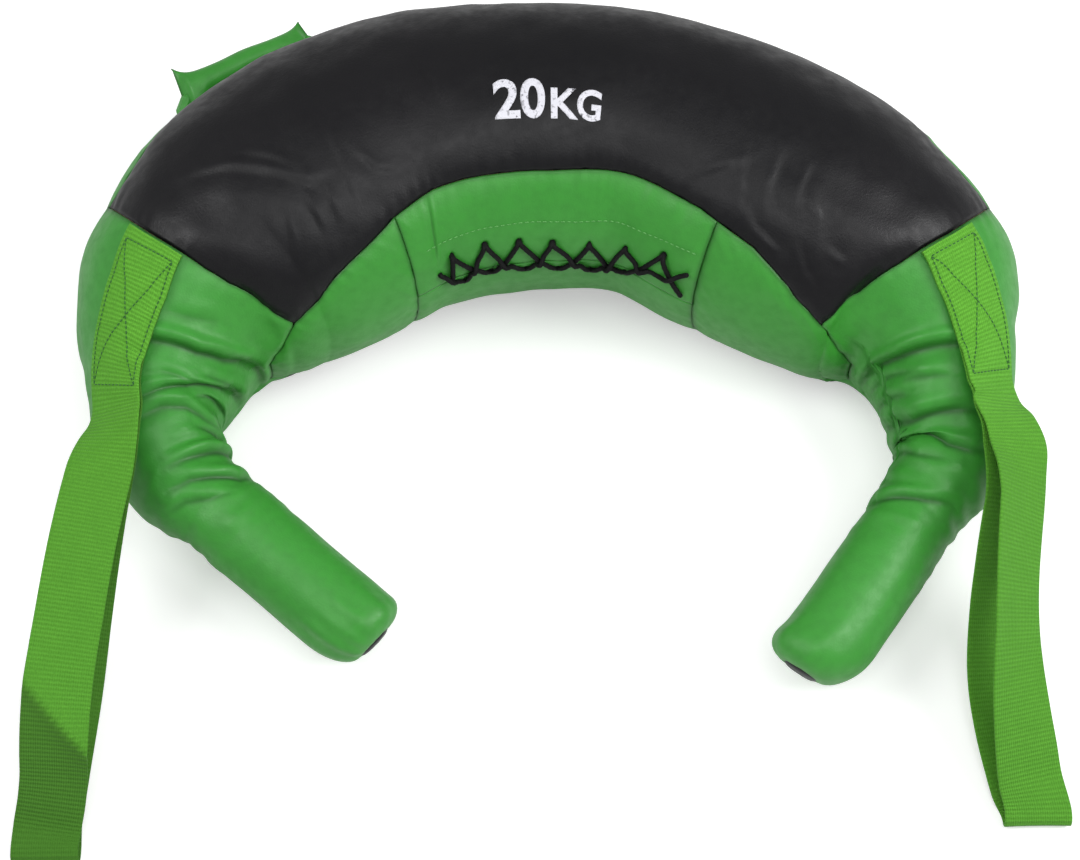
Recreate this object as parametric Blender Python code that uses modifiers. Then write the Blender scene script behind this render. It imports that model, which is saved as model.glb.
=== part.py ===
"""Sandbag trainer: a stuffed leather crescent with a laced filling slit, webbing loops on its
shoulders, carrying handles on its outer rim and a padded, flexible grip at each end.

Metres, +Z up. The origin is the middle of the flat belly that the bag lies on, in its plane of
symmetry, and the grips point towards -Y. A place on the bag is given by its distance along the
tube's centre line from the plane of symmetry, negative on the left, and by its angle round the
tube: 0 faces the crescent's hollow, 90 is the top, 180 the outer rim and 270 the belly.
"""
import math

import bmesh
import bpy
import numpy as np
from mathutils import Matrix, Vector

# Sizes of the tube
TUBE_HALF_WIDTH = 0.088
TUBE_HALF_HEIGHT = 0.088
NECK_RADIUS = 0.033
CRESCENT_HALF_SPAN = 0.233
CRESCENT_DEPTH = 0.213
BELLY_SINK = 0.004
NECK_LIFT = 0.014
NECK_TURN_DEG = 31.0

# Leather and its seams
LEATHER = 0.002
SEAM_GAP = 0.0022
LAYER_GAP = 0.0008
TOP_EDGE_DEG = 40.0
SHOULDER_EDGE_DEG = 22.0
RIM_EDGE_DEG = 155.0
GUSSET_SEAM_AT = 0.135
SHOULDER_SEAM_AT = 0.250
SHOULDER_SEAM_TONGUE = 0.030
PANEL_STEP = 0.0245
SIDE_STEP = 0.016

# Filling slit and lacing
SLIT_ANGLE_DEG = 3.0
SLIT_GAP = 0.003
LACE_DIAMETER = 0.0026
LACE_GAP = 0.0005
LACE_PITCH = 0.0294
LACE_HOLE_OFFSET = 0.0162
LACE_ELBOW = 0.0027
LACE_PAIR_OFFSET = 0.0023
LACE_HOLES = 7
LACE_HOLE_LENGTH = 0.0080
LACE_HOLE_WIDTH = 0.0062
TONGUE_THICKNESS = 0.0012
TONGUE_HALF_LENGTH = 0.112
TONGUE_HALF_WIDTH = 0.030

# Filling
BAG_SPACE = 0.006
BAG_END_SHARE = 0.88
GUSSET_ALLOWANCE = 0.0034
NECK_ALLOWANCE = 0.0030
SOCKET_GAP = 0.0012

# Grips
GRIP_STEP = 0.0035
GRIP_LENGTH = 0.147
GRIP_FLOOR_GAP = 0.003
GRIP_LEAN_RIGHT_DEG = 36.0
GRIP_LEAN_LEFT_DEG = 49.0
CUFF_GAP = 0.001
CUFF_SETBACK = 0.006
CUFF_BACK_DEG = 138.0
GRIP_LIP = 0.004
END_DISC_THICKNESS = 0.005
END_DISC_EDGE = 0.001
GRIP_SIDES = 20

# Webbing loops
WEBBING_WIDTH = 0.038
WEBBING = 0.0016
WEBBING_SEAT = 0.0010
WEBBING_ANGLE_DEG = 124.0
SEWN_START = 0.256
SEWN_END = 0.331
SEWN_FLAT_FROM = 0.295
RIGHT_HINGE_GAP = 0.0020
LEFT_HINGE_GAP = 0.0008
LOOP_LIFT = 0.0014
LOOP_LAYER_GAP = 0.0006
LOOP_FOLD_RADIUS = 0.0045
LOOP_FLOOR_GAP = 0.0004
RIGHT_LOOP_REACH = 0.230
RIGHT_LOOP_SPREAD = 0.015
RIGHT_LOOP_ROLL_DEG = 40.0
LEFT_LOOP_REACH = 0.237
LEFT_LOOP_SPREAD = 0.037
LEFT_LOOP_ROLL_DEG = 12.0

# Rear handles
HANDLE_HALF_FOOT = 0.041
HANDLE_AT = 0.133
HANDLE_ANGLE_DEG = 190.0
HANDLE_STAND = 0.023
HANDLE_CORE_DIAMETER = 0.011
HANDLE_COVER_LENGTH = 0.092
HANDLE_COVER_HALF_HEIGHT = 0.0105
HANDLE_FLARE = 0.006
HANDLE_COVER_GAP = 0.0005
HANDLE_SEAT = 0.0005
HANDLE_RISE_LEFT_DEG = 25.0
HANDLE_RISE_RIGHT_DEG = -50.0
HANDLE_SQUARENESS = 0.5
PATCH_HALF_LENGTH = 0.017
PATCH_HALF_HEIGHT = 0.016

OVERRUN = 0.004
MERGE_DISTANCE = 0.00001

# Stations of each horn from the middle to its neck: x and y as shares of the crescent's half
# span and depth, then the growth of the half width from neck to tube. The soft horns lie a
# little differently on the left and on the right.
right_horn_shares = [
    (0.000, 0.000, 1.000), (0.282, 0.037, 0.970), (0.584, 0.199, 1.065), (0.803, 0.350, 0.943),
    (0.945, 0.488, 0.665), (1.003, 0.665, 0.290), (1.016, 0.844, 0.085), (1.003, 1.000, 0.000)]
left_horn_shares = [
    (0.000, 0.000, 1.000), (0.348, 0.044, 1.100), (0.625, 0.188, 1.145), (0.815, 0.336, 0.977),
    (0.935, 0.491, 0.672), (0.985, 0.678, 0.331), (0.995, 0.844, 0.090), (0.925, 1.000, 0.000)]
# Growth of the half height from neck to tube at the same stations, and the share of the neck's
# lift off the floor.
height_shares = [
    (1.000, 0.00), (0.980, 0.00), (0.930, 0.00), (0.836, 0.00),
    (0.710, 0.00), (0.490, 0.17), (0.236, 0.61), (0.000, 1.00)]

# Routes of the free webbing: forward as a share of the loop's reach, outward as a share of its
# spread, height as a share of the hinge's height, and the share of the loop's roll.
right_top_shares = [
    (0.03, 0.06, 1.013, 0.0), (0.12, 0.75, 1.010, 0.3), (0.24, 1.05, 0.990, 0.9),
    (0.42, 0.58, 0.900, 1.0), (0.62, 0.28, 0.700, 1.0), (0.79, 0.42, 0.430, 0.7),
    (0.92, 0.75, 0.190, 0.3)]
right_under_shares = [
    (0.92, 0.60, 0.035, 0.1), (0.80, 0.20, 0.080, 0.3), (0.66, -0.10, 0.180, 0.5),
    (0.51, 0.05, 0.370, 0.6), (0.36, 0.15, 0.600, 0.8), (0.22, 0.42, 0.820, 0.8),
    (0.11, 0.35, 0.920, 0.3), (0.03, 0.03, 0.970, 0.0)]
left_top_shares = [
    (0.03, 0.04, 1.013, 0.0), (0.14, 0.28, 1.000, 0.3), (0.32, 0.45, 0.920, 0.8),
    (0.52, 0.62, 0.740, 1.0), (0.71, 0.79, 0.500, 0.9), (0.84, 0.92, 0.310, 0.5),
    (0.94, 1.00, 0.150, 0.2)]
left_under_shares = [
    (0.92, 1.00, 0.035, 0.1), (0.78, 0.92, 0.070, 0.4), (0.60, 0.78, 0.170, 0.8),
    (0.43, 0.62, 0.400, 1.0), (0.28, 0.42, 0.680, 0.8), (0.14, 0.20, 0.910, 0.3),
    (0.04, 0.02, 0.970, 0.0)]

# Where along its reach a loop turns level.
LOOP_LEVEL_SHARES = (0.14, 0.5)

# Half height of the rear handle's cover along its length: flared ends, slim middle.
cover_flare_shares = [(0.0, 1.0), (0.09, 0.62), (0.2, 0.2), (0.35, 0.03), (0.5, 0.0)]

def clear_scene():
    for item in list(bpy.data.objects):
        bpy.data.objects.remove(item, do_unlink=True)


def hermite(knots, values, at, start=None, end=None):
    """Smooth curve through the values at the knots, read at one parameter."""
    knots = np.asarray(knots, float)
    values = np.asarray(values, float)
    steps = np.diff(knots)
    slopes = np.diff(values, axis=0) / steps[:, None]
    tangents = np.empty_like(values)
    tangents[0] = slopes[0] if start is None else start
    tangents[-1] = slopes[-1] if end is None else end
    before = steps[:-1, None]
    after = steps[1:, None]
    tangents[1:-1] = (slopes[:-1] * after + slopes[1:] * before) / (before + after)
    span = int(np.clip(np.searchsorted(knots, at, side="right") - 1, 0, len(steps) - 1))
    share = (at - knots[span]) / steps[span]
    square = share * share
    cube = square * share
    return ((2 * cube - 3 * square + 1) * values[span]
            + (cube - 2 * square + share) * steps[span] * tangents[span]
            + (3 * square - 2 * cube) * values[span + 1]
            + (cube - square) * steps[span] * tangents[span + 1])


def smooth_step(low, high, at):
    share = min(max((at - low) / (high - low), 0.0), 1.0)
    return share * share * (3 - 2 * share)


def even(low, high, step):
    """Evenly spread values from low to high, about a step apart."""
    count = max(1, round((high - low) / step))
    return [low + (high - low) * index / count for index in range(count + 1)]


def share_curve(shares, at):
    table = np.asarray(shares, float)
    return float(hermite(table[:, 0], table[:, 1:], at)[0])


# The tube's centre line

def horn_rows(horn_shares):
    rows = []
    for (x, y, width), (height, lift) in zip(horn_shares, height_shares):
        half_width = NECK_RADIUS + width * (TUBE_HALF_WIDTH - NECK_RADIUS)
        half_height = NECK_RADIUS + height * (TUBE_HALF_HEIGHT - NECK_RADIUS)
        z = half_height - BELLY_SINK + lift * (NECK_LIFT + BELLY_SINK)
        rows.append((x * CRESCENT_HALF_SPAN, -y * CRESCENT_DEPTH, z, half_width, half_height))
    return np.array(rows)


def mean_knots(*tables):
    """Distances along the centre line, the same for both horns."""
    steps = [np.linalg.norm(np.diff(table[:, :2], axis=0), axis=1) for table in tables]
    return np.concatenate([[0.0], np.cumsum(np.mean(steps, axis=0))])


RIGHT_ROWS = horn_rows(right_horn_shares)
LEFT_ROWS = horn_rows(left_horn_shares)
KNOTS = mean_knots(RIGHT_ROWS, LEFT_ROWS)
NECK_AT = float(KNOTS[-1])
NECK_TURN = math.radians(NECK_TURN_DEG)
END_SLOPE = np.array([-math.sin(NECK_TURN), -math.cos(NECK_TURN), 0.0, 0.0, 0.0])
START_SLOPE = np.array([1.0, 0.0, 0.0, 0.0, 0.0])


def station(at):
    """Centre x, y, z, half width and half height of the tube at a place along it."""
    rows = LEFT_ROWS if at < 0 else RIGHT_ROWS
    row = hermite(KNOTS, rows, min(abs(at), NECK_AT), START_SLOPE, END_SLOPE)
    if at < 0:
        row[0] = -row[0]
    return row


PROBE = CRESCENT_DEPTH / 400


def heading(at):
    """Direction of the centre line on plan, from left to right."""
    ahead = station(min(at + PROBE, NECK_AT))
    behind = station(max(at - PROBE, -NECK_AT))
    step = Vector((ahead[0] - behind[0], ahead[1] - behind[1], 0.0))
    return step.normalized()


def round_skin(at, angle_deg):
    x, y, z, half_width, half_height = station(at)
    along = heading(at)
    inward = Vector((along.y, -along.x, 0.0))
    angle = math.radians(angle_deg)
    out = inward * (half_width * math.cos(angle))
    return Vector((x, y, z)) + out + Vector((0, 0, half_height * math.sin(angle)))


def outward(at, angle_deg):
    """The skin's normal, before the floor flattens the belly."""
    turn = math.degrees(PROBE / TUBE_HALF_HEIGHT)
    low = max(at - PROBE, -NECK_AT)
    high = min(at + PROBE, NECK_AT)
    step = round_skin(high, angle_deg) - round_skin(low, angle_deg)
    swing = round_skin(at, angle_deg + turn) - round_skin(at, angle_deg - turn)
    return step.cross(swing).normalized()


def skin(at, angle_deg, depth=0.0):
    """A point under the bag's skin, or over it where the depth is negative."""
    point = round_skin(at, angle_deg) - outward(at, angle_deg) * depth
    point.z = max(point.z, depth)
    return point


def turn_for(length, radius=TUBE_HALF_HEIGHT):
    return math.degrees(length / radius)


def seam_skin(at, angle_deg, depth=0.0):
    """The same, by the angle that a piece has in the middle: its seams drop at the shoulders."""
    edge = TOP_EDGE_DEG - (TOP_EDGE_DEG - SHOULDER_EDGE_DEG) * smooth_step(
        GUSSET_SEAM_AT, SHOULDER_SEAM_AT, abs(at))
    turn = (angle_deg + 180.0) % 360.0 - 180.0
    size = abs(turn)
    if size <= TOP_EDGE_DEG:
        size *= edge / TOP_EDGE_DEG
    elif size < RIM_EDGE_DEG:
        size = edge + (size - TOP_EDGE_DEG) * (RIM_EDGE_DEG - edge) / (RIM_EDGE_DEG - TOP_EDGE_DEG)
    return skin(at, math.copysign(size, turn), depth)


# Objects, materials and meshes

def make_collection(name):
    group = bpy.data.collections.new(name)
    bpy.context.scene.collection.children.link(group)
    return group


clear_scene()
PARTS = make_collection("sandbag_trainer")
CUTTERS = make_collection("cutters")


def make_material(name, colour, roughness, metallic=0.0):
    material = bpy.data.materials.new(name)
    material.use_nodes = True
    shader = material.node_tree.nodes["Principled BSDF"]
    shader.inputs["Base Color"].default_value = (*colour, 1.0)
    shader.inputs["Roughness"].default_value = roughness
    shader.inputs["Metallic"].default_value = metallic
    return material


BLACK_LEATHER = ((0.022, 0.022, 0.026), 0.38)
GREEN_LEATHER = ((0.062, 0.279, 0.047), 0.36)
WEBBING_GREEN = ((0.105, 0.341, 0.037), 0.80)
CORD_BLACK = ((0.012, 0.012, 0.014), 0.65)
SACKCLOTH = ((0.42, 0.36, 0.26), 0.90)
FIBRE = ((0.62, 0.60, 0.56), 0.95)


def make_object(name, mesh, finish, origin=None, parent=None, group=None):
    """An object whose mesh is given in the part's own frame, with its origin where it turns."""
    item = bpy.data.objects.new(name, mesh)
    (group or PARTS).objects.link(item)
    if finish:
        mesh.materials.append(make_material(name, *finish))
    if parent:
        origin = parent.location
        item.parent = parent
    if origin is not None:
        mesh.transform(Matrix.Translation(-Vector(origin)))
    if origin is not None and not parent:
        item.location = origin
    return item


def make_joint(name, place):
    marker = bpy.data.objects.new(name, None)
    marker.location = place
    PARTS.objects.link(marker)
    return marker


def smooth(item, angle_deg=40.0):
    item.data.shade_smooth()
    item.data.set_sharp_from_angle(angle=math.radians(angle_deg))


def sheet_mesh(name, rows, closed=False, ring=False):
    """A sheet through rows of points; closed joins each row's ends, ring joins the last row."""
    mesh = bpy.data.meshes.new(name)
    width = len(rows[0])
    points = [tuple(point) for row in rows for point in row]
    faces = []
    for i in range(len(rows) if ring else len(rows) - 1):
        for j in range(width if closed else width - 1):
            a = i * width + j
            b = ((i + 1) % len(rows)) * width + j
            c = ((i + 1) % len(rows)) * width + (j + 1) % width
            d = i * width + (j + 1) % width
            faces.append((a, b, c, d))
    mesh.from_pydata(points, [], faces)
    mesh.update()
    return mesh


def loft_mesh(name, rings):
    """A closed solid through rings of points, each end closed round its middle."""
    mesh = sheet_mesh(name, rings, closed=True)
    shape = bmesh.new()
    shape.from_mesh(mesh)
    caps = bmesh.ops.holes_fill(shape, edges=[edge for edge in shape.edges if edge.is_boundary])
    bmesh.ops.poke(shape, faces=caps["faces"], center_mode="MEAN")
    bmesh.ops.recalc_face_normals(shape, faces=shape.faces)
    shape.to_mesh(mesh)
    shape.free()
    return mesh


def thicken(item, thickness, side=-1.0):
    """Gives an open sheet its thickness: -1 keeps the sheet as the outer face, 1 as the inner."""
    solid = item.modifiers.new("thickness", "SOLIDIFY")
    solid.thickness = thickness
    solid.offset = side
    return solid


def cut(item, cutter):
    cutter.hide_render = True
    cutter.display_type = "WIRE"
    knife = item.modifiers.new("cut", "BOOLEAN")
    knife.operation = "DIFFERENCE"
    knife.solver = "EXACT"
    knife.object = cutter


def skin_sheet(name, places, angles, finish, depth=0.0, closed=False):
    """A leather piece on the bag's skin: places may be a function of the angle."""
    rows = []
    for index in range(len(places(angles[0]))):
        rows.append([seam_skin(places(angle)[index], angle, depth) for angle in angles])
    item = make_object(name, sheet_mesh(name, rows, closed), finish)
    thicken(item, LEATHER)
    smooth(item)
    return item


def turned(name, profile, finish, place, direction, parent=None, sides=GRIP_SIDES):
    """A turned piece: its profile of (radius, distance) turns about a line from the place."""
    mesh = bpy.data.meshes.new(name)
    closed = profile[0][0] > MERGE_DISTANCE or profile[-1][0] > MERGE_DISTANCE
    edges = [(index, index + 1) for index in range(len(profile) - 1)]
    if closed:
        edges.append((len(profile) - 1, 0))
    mesh.from_pydata([(radius, 0.0, distance) for radius, distance in profile], edges, [])
    mesh.materials.append(make_material(name, *finish))
    item = bpy.data.objects.new(name, mesh)
    PARTS.objects.link(item)
    item.rotation_mode = "QUATERNION"
    item.rotation_quaternion = Vector((0, 0, 1)).rotation_difference(direction)
    if parent:
        item.parent = parent
        item.location = Vector(place) - parent.location
    else:
        item.location = place
    lathe = item.modifiers.new("turn", "SCREW")
    lathe.axis = "Z"
    lathe.steps = sides
    lathe.render_steps = sides
    lathe.use_merge_vertices = True
    lathe.merge_threshold = MERGE_DISTANCE
    lathe.use_smooth_shade = True
    return item


# Leather panels

PANEL_TURN = 115.0 / 8
RIM_TURN = 50.0 / 4
HOLLOW_TURN = 80.0 / 6
SLIT_TURN = turn_for(SLIT_GAP / 2)
SEAM_TURN = turn_for(SEAM_GAP / 2)
HALF_SEAM = SEAM_GAP / 2


def inner_angles():
    upper = even(SLIT_ANGLE_DEG + SLIT_TURN, TOP_EDGE_DEG, 7.5)
    lower = even(-TOP_EDGE_DEG, SLIT_ANGLE_DEG - SLIT_TURN, 7.5)
    return lower, upper


def panel_places():
    middle = even(-GUSSET_SEAM_AT, GUSSET_SEAM_AT, PANEL_STEP)
    side = even(GUSSET_SEAM_AT, SHOULDER_SEAM_AT, PANEL_STEP)
    left = [-place for place in reversed(side)]
    return left[:-1] + middle + side[1:]


def pull_in(values, amount):
    """Draws the first and last value in, to leave room for a seam."""
    return [values[0] + amount] + list(values[1:-1]) + [values[-1] - amount]


def shoulder_seam(angle_deg):
    """Where the shoulder sleeve starts: it reaches further along in the crescent's hollow."""
    from_inner = abs((angle_deg + 180.0) % 360.0 - 180.0)
    return SHOULDER_SEAM_AT + SHOULDER_SEAM_TONGUE * max(0.0, 1.0 - from_inner / TOP_EDGE_DEG)


def mirrored(row, side):
    return list(row) if side > 0 else [-place for place in reversed(row)]


def spread(low, high, steps):
    return [low + (high - low) * index / steps for index in range(steps + 1)]


def gusset_row(angle_deg):
    steps = round((SHOULDER_SEAM_AT - GUSSET_SEAM_AT) / PANEL_STEP)
    return spread(GUSSET_SEAM_AT, shoulder_seam(angle_deg), steps)


def sleeve_row(angle_deg):
    end = NECK_AT - CUFF_SETBACK
    steps = round((end - SHOULDER_SEAM_AT) / SIDE_STEP)
    return spread(shoulder_seam(angle_deg) + HALF_SEAM, end, steps)


def girth_angles(inner):
    """The angles round the whole tube, shared by every layer so that the layers stay apart."""
    top = even(TOP_EDGE_DEG, RIM_EDGE_DEG, PANEL_TURN)
    rim = even(RIM_EDGE_DEG, 360.0 - RIM_EDGE_DEG, RIM_TURN)
    belly = even(360.0 - RIM_EDGE_DEG, 360.0 - TOP_EDGE_DEG, PANEL_TURN)
    return inner[1:-1] + top + rim[1:] + belly[1:]


def build_panels():
    body = pull_in(panel_places(), HALF_SEAM)
    middle = pull_in(even(-GUSSET_SEAM_AT, GUSSET_SEAM_AT, PANEL_STEP), HALF_SEAM)
    lower, upper = inner_angles()
    top = pull_in(even(TOP_EDGE_DEG, RIM_EDGE_DEG, PANEL_TURN), SEAM_TURN)
    rim = pull_in(even(RIM_EDGE_DEG, 360.0 - RIM_EDGE_DEG, RIM_TURN), SEAM_TURN)
    belly = pull_in(even(360.0 - RIM_EDGE_DEG, 360.0 - TOP_EDGE_DEG, PANEL_TURN), SEAM_TURN)
    skin_sheet("top_panel", lambda angle: body, top, BLACK_LEATHER)
    skin_sheet("bottom_panel", lambda angle: body, belly, BLACK_LEATHER)
    skin_sheet("outer_panel", lambda angle: body, rim, GREEN_LEATHER)
    upper_panel = skin_sheet("inner_panel_upper", lambda angle: middle,
                             upper[:-1] + [upper[-1] - SEAM_TURN], GREEN_LEATHER)
    lower_panel = skin_sheet("inner_panel_lower", lambda angle: middle,
                             [lower[0] + SEAM_TURN] + lower[1:], GREEN_LEATHER)
    cut(upper_panel, lace_hole_cutters("upper_lace_holes", 1))
    cut(lower_panel, lace_hole_cutters("lower_lace_holes", -1))
    hollow = even(-TOP_EDGE_DEG, TOP_EDGE_DEG, HOLLOW_TURN)
    for side, word in ((1, "right"), (-1, "left")):
        skin_sheet("inner_gusset_" + word,
                   lambda angle: mirrored(pull_in(gusset_row(angle), HALF_SEAM), side),
                   pull_in(hollow, SEAM_TURN), GREEN_LEATHER)
        skin_sheet("shoulder_sleeve_" + word, lambda angle: mirrored(sleeve_row(angle), side),
                   girth_angles(hollow), GREEN_LEATHER, closed=True)


# Lacing

LACE_FIRST = -LACE_PITCH * (LACE_HOLES - 1) / 2
LACE_SHALLOW = LEATHER + LACE_GAP + LACE_DIAMETER / 2
LACE_DEEP = LACE_SHALLOW + LACE_DIAMETER + LACE_GAP
LACE_LOW = LACE_DIAMETER / 2 + LACE_GAP
LACE_HIGH = LACE_LOW + LACE_DIAMETER + LACE_GAP


def lace_point(at, across, depth):
    """A point of the lacing: across is measured from the slit, towards the top."""
    return skin(at, SLIT_ANGLE_DEG + turn_for(across), depth)


def lace_hole_cutters(name, row):
    shape = bmesh.new()
    for index in range(LACE_HOLES):
        at = LACE_FIRST + index * LACE_PITCH
        angle = SLIT_ANGLE_DEG + turn_for(row * LACE_HOLE_OFFSET)
        normal = outward(at, angle)
        along = heading(at)
        across = normal.cross(along).normalized()
        frame = Matrix((along, across, normal)).transposed().to_4x4()
        size = Matrix.Diagonal((LACE_HOLE_LENGTH, LACE_HOLE_WIDTH, LEATHER + 2 * OVERRUN, 1.0))
        place = Matrix.Translation(skin(at, angle, LEATHER / 2)) @ frame @ size
        bmesh.ops.create_cube(shape, size=1.0, matrix=place)
    mesh = bpy.data.meshes.new(name)
    shape.to_mesh(mesh)
    shape.free()
    return make_object(name, mesh, None, group=CUTTERS)


def lace_elbow(at, row, inside_depth, going_in):
    """Round the edge of a hole, from the leather's face to its back or the other way."""
    points = [(at, row * (LACE_HOLE_OFFSET - LACE_ELBOW), -LACE_LOW),
              (at, row * LACE_HOLE_OFFSET, LEATHER / 2),
              (at, row * (LACE_HOLE_OFFSET - LACE_ELBOW), inside_depth)]
    return points if going_in else points[::-1]


def lace_route():
    """One cord, laced to the left along the slit and back: tail, run out, run back, tail."""
    holes = [LACE_FIRST + index * LACE_PITCH for index in range(LACE_HOLES)]
    last = holes[-1]
    pair = LACE_PAIR_OFFSET
    route = [(last + 0.9 * LACE_PITCH, -0.55 * LACE_HOLE_OFFSET, -LACE_LOW),
             (last + 0.5 * LACE_PITCH, -0.75 * LACE_HOLE_OFFSET, -LACE_LOW)]
    for index in range(LACE_HOLES - 1, 0, -1):
        route += lace_elbow(holes[index] + pair, -1, LACE_SHALLOW, True)
        route.append((holes[index], 0.0, LACE_SHALLOW))
        route += lace_elbow(holes[index] - pair, 1, LACE_SHALLOW, False)
        route.append((holes[index] - LACE_PITCH / 2, 0.0, -LACE_LOW))
    route += lace_elbow(holes[0] + pair, -1, LACE_SHALLOW, True)
    route.append((holes[0] + pair, 0.0, LACE_SHALLOW))
    route += lace_elbow(holes[0] + pair, 1, LACE_SHALLOW, False)
    for index in range(1, LACE_HOLES):
        route.append((holes[index] - LACE_PITCH / 2, 0.0, -LACE_HIGH))
        route += lace_elbow(holes[index] - pair, -1, LACE_DEEP, True)
        route.append((holes[index], 0.0, LACE_DEEP))
        route += lace_elbow(holes[index] + pair, 1, LACE_DEEP, False)
    route += [(last + 0.30 * LACE_PITCH, 0.12 * LACE_HOLE_OFFSET, -LACE_LOW),
              (last + 0.46 * LACE_PITCH, -0.75 * LACE_HOLE_OFFSET, -LACE_HIGH),
              (last + 0.62 * LACE_PITCH, -1.7 * LACE_HOLE_OFFSET, -LACE_LOW),
              (last + 0.68 * LACE_PITCH, -2.0 * LACE_HOLE_OFFSET, -LACE_LOW)]
    return route


def build_cord(name, points, diameter, finish, parent=None, radii=None):
    curve = bpy.data.curves.new(name, "CURVE")
    curve.dimensions = "3D"
    curve.bevel_depth = diameter / 2
    curve.bevel_resolution = 2
    curve.use_fill_caps = True
    origin = parent.location if parent else Vector((0, 0, 0))
    line = curve.splines.new("POLY")
    line.points.add(len(points) - 1)
    for index, point in enumerate(points):
        line.points[index].co = (*(Vector(point) - origin), 1.0)
        line.points[index].radius = radii[index] if radii else 1.0
    curve.materials.append(make_material(name, *finish))
    item = bpy.data.objects.new(name, curve)
    PARTS.objects.link(item)
    if parent:
        item.parent = parent
    return item


def build_lacing():
    build_cord("lacing_cord", [lace_point(*step) for step in lace_route()], LACE_DIAMETER, CORD_BLACK)
    depth = LACE_DEEP + LACE_DIAMETER / 2 + LACE_GAP
    places = even(-TONGUE_HALF_LENGTH, TONGUE_HALF_LENGTH, PANEL_STEP)
    half_turn = turn_for(TONGUE_HALF_WIDTH)
    angles = even(SLIT_ANGLE_DEG - half_turn, SLIT_ANGLE_DEG + half_turn, 10.0)
    rows = [[skin(at, angle, depth) for angle in angles] for at in places]
    tongue = make_object("lacing_tongue", sheet_mesh("lacing_tongue", rows), BLACK_LEATHER)
    thicken(tongue, TONGUE_THICKNESS)
    smooth(tongue)


# Filling

def lace_room(at, angle_deg):
    """Extra depth behind the slit, where the hidden lacing and its tongue lie."""
    full = LACE_DEEP + LACE_DIAMETER / 2 + LACE_GAP + TONGUE_THICKNESS - LEATHER
    off_slit = abs((angle_deg - SLIT_ANGLE_DEG + 180.0) % 360.0 - 180.0)
    half_turn = turn_for(TONGUE_HALF_WIDTH)
    round_share = 1.0 - smooth_step(half_turn + 4.0, 2.2 * half_turn, off_slit)
    long_share = 1.0 - smooth_step(TONGUE_HALF_LENGTH + BAG_SPACE, GUSSET_SEAM_AT + PANEL_STEP, abs(at))
    return full * round_share * long_share


def allowance_room(at, angle_deg):
    """Extra depth on the hollow's side, where turned-in seam edges and the neck's folds lie."""
    from_inner = abs((angle_deg + 180.0) % 360.0 - 180.0)
    round_share = 1.0 - smooth_step(TOP_EDGE_DEG, RIM_EDGE_DEG, from_inner)
    gusset = GUSSET_ALLOWANCE * smooth_step(GUSSET_SEAM_AT, SHOULDER_SEAM_AT, abs(at))
    neck = NECK_ALLOWANCE * smooth_step(SHOULDER_SEAM_AT, NECK_AT, abs(at))
    return (gusset + neck) * round_share


def filling_ring(places, angles, shrink=1.0):
    """A ring of the filling, drawn in towards the tube's middle by its shrink."""
    ring = []
    for angle in angles:
        at = places(angle)
        centre = Vector(station(at)[:3])
        depth = LEATHER + LAYER_GAP + lace_room(at, angle) + allowance_room(at, angle)
        point = seam_skin(at, angle, depth)
        ring.append(centre + (point - centre) * shrink)
    return ring


def build_filling():
    lower, upper = inner_angles()
    middle = girth_angles(lower[:-1:2] + [SLIT_ANGLE_DEG] + upper[1::2])
    end = GUSSET_SEAM_AT - 1.5 * BAG_SPACE
    rows = [place for place in even(-GUSSET_SEAM_AT, GUSSET_SEAM_AT, PANEL_STEP) if abs(place) < end]
    rings = [filling_ring(lambda angle: -end, middle, BAG_END_SHARE)]
    rings += [filling_ring(lambda angle: place, middle) for place in rows]
    rings.append(filling_ring(lambda angle: end, middle, BAG_END_SHARE))
    bag = make_object("sand_bag_middle", loft_mesh("sand_bag_middle", rings), SACKCLOTH)
    smooth(bag)
    angles = girth_angles(even(-TOP_EDGE_DEG, TOP_EDGE_DEG, HOLLOW_TURN))
    start = GUSSET_SEAM_AT - BAG_SPACE / 2
    gusset_rows = len(gusset_row(0.0))
    sleeve_rows = len(sleeve_row(0.0))
    for side, word in ((1, "right"), (-1, "left")):
        rings = [filling_ring(lambda angle: side * start, angles, BAG_END_SHARE)]
        for index in range(1, gusset_rows):
            rings.append(filling_ring(lambda angle: side * gusset_row(angle)[index], angles))
        rings.append(filling_ring(lambda angle: side * sleeve_row(angle)[1], angles, BAG_END_SHARE))
        name = "sand_bag_" + word
        bag = make_object(name, loft_mesh(name, rings[::side]), SACKCLOTH)
        smooth(bag)
        rings = [filling_ring(lambda angle: side * (sleeve_row(angle)[1] + BAG_SPACE), angles,
                              BAG_END_SHARE)]
        for index in range(2, sleeve_rows - 1):
            rings.append(filling_ring(lambda angle: side * sleeve_row(angle)[index], angles))
        name = "neck_filling_" + word
        plug = make_object(name, loft_mesh(name, rings[::side]), FIBRE)
        cut(plug, socket_cutter(side, word))
        smooth(plug)


# Grips

CUFF_RADIUS = NECK_RADIUS - LEATHER - CUFF_GAP
GRIP_RADIUS = CUFF_RADIUS - GRIP_STEP


def neck_point(side):
    return Vector(station(side * NECK_AT)[:3])


def socket_cutter(side, word):
    shape = bmesh.new()
    bmesh.ops.create_uvsphere(shape, u_segments=20, v_segments=12, radius=CUFF_RADIUS + SOCKET_GAP,
                              matrix=Matrix.Translation(neck_point(side)))
    mesh = bpy.data.meshes.new("neck_socket_" + word)
    shape.to_mesh(mesh)
    shape.free()
    return make_object("neck_socket_" + word, mesh, None, group=CUTTERS)


def grip_direction(side):
    lean = math.radians(GRIP_LEAN_RIGHT_DEG if side > 0 else GRIP_LEAN_LEFT_DEG)
    drop = neck_point(side).z - GRIP_RADIUS - GRIP_FLOOR_GAP
    flat = math.sqrt(GRIP_LENGTH ** 2 - drop ** 2)
    return Vector((-side * math.sin(lean) * flat, -math.cos(lean) * flat, -drop)).normalized()


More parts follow.
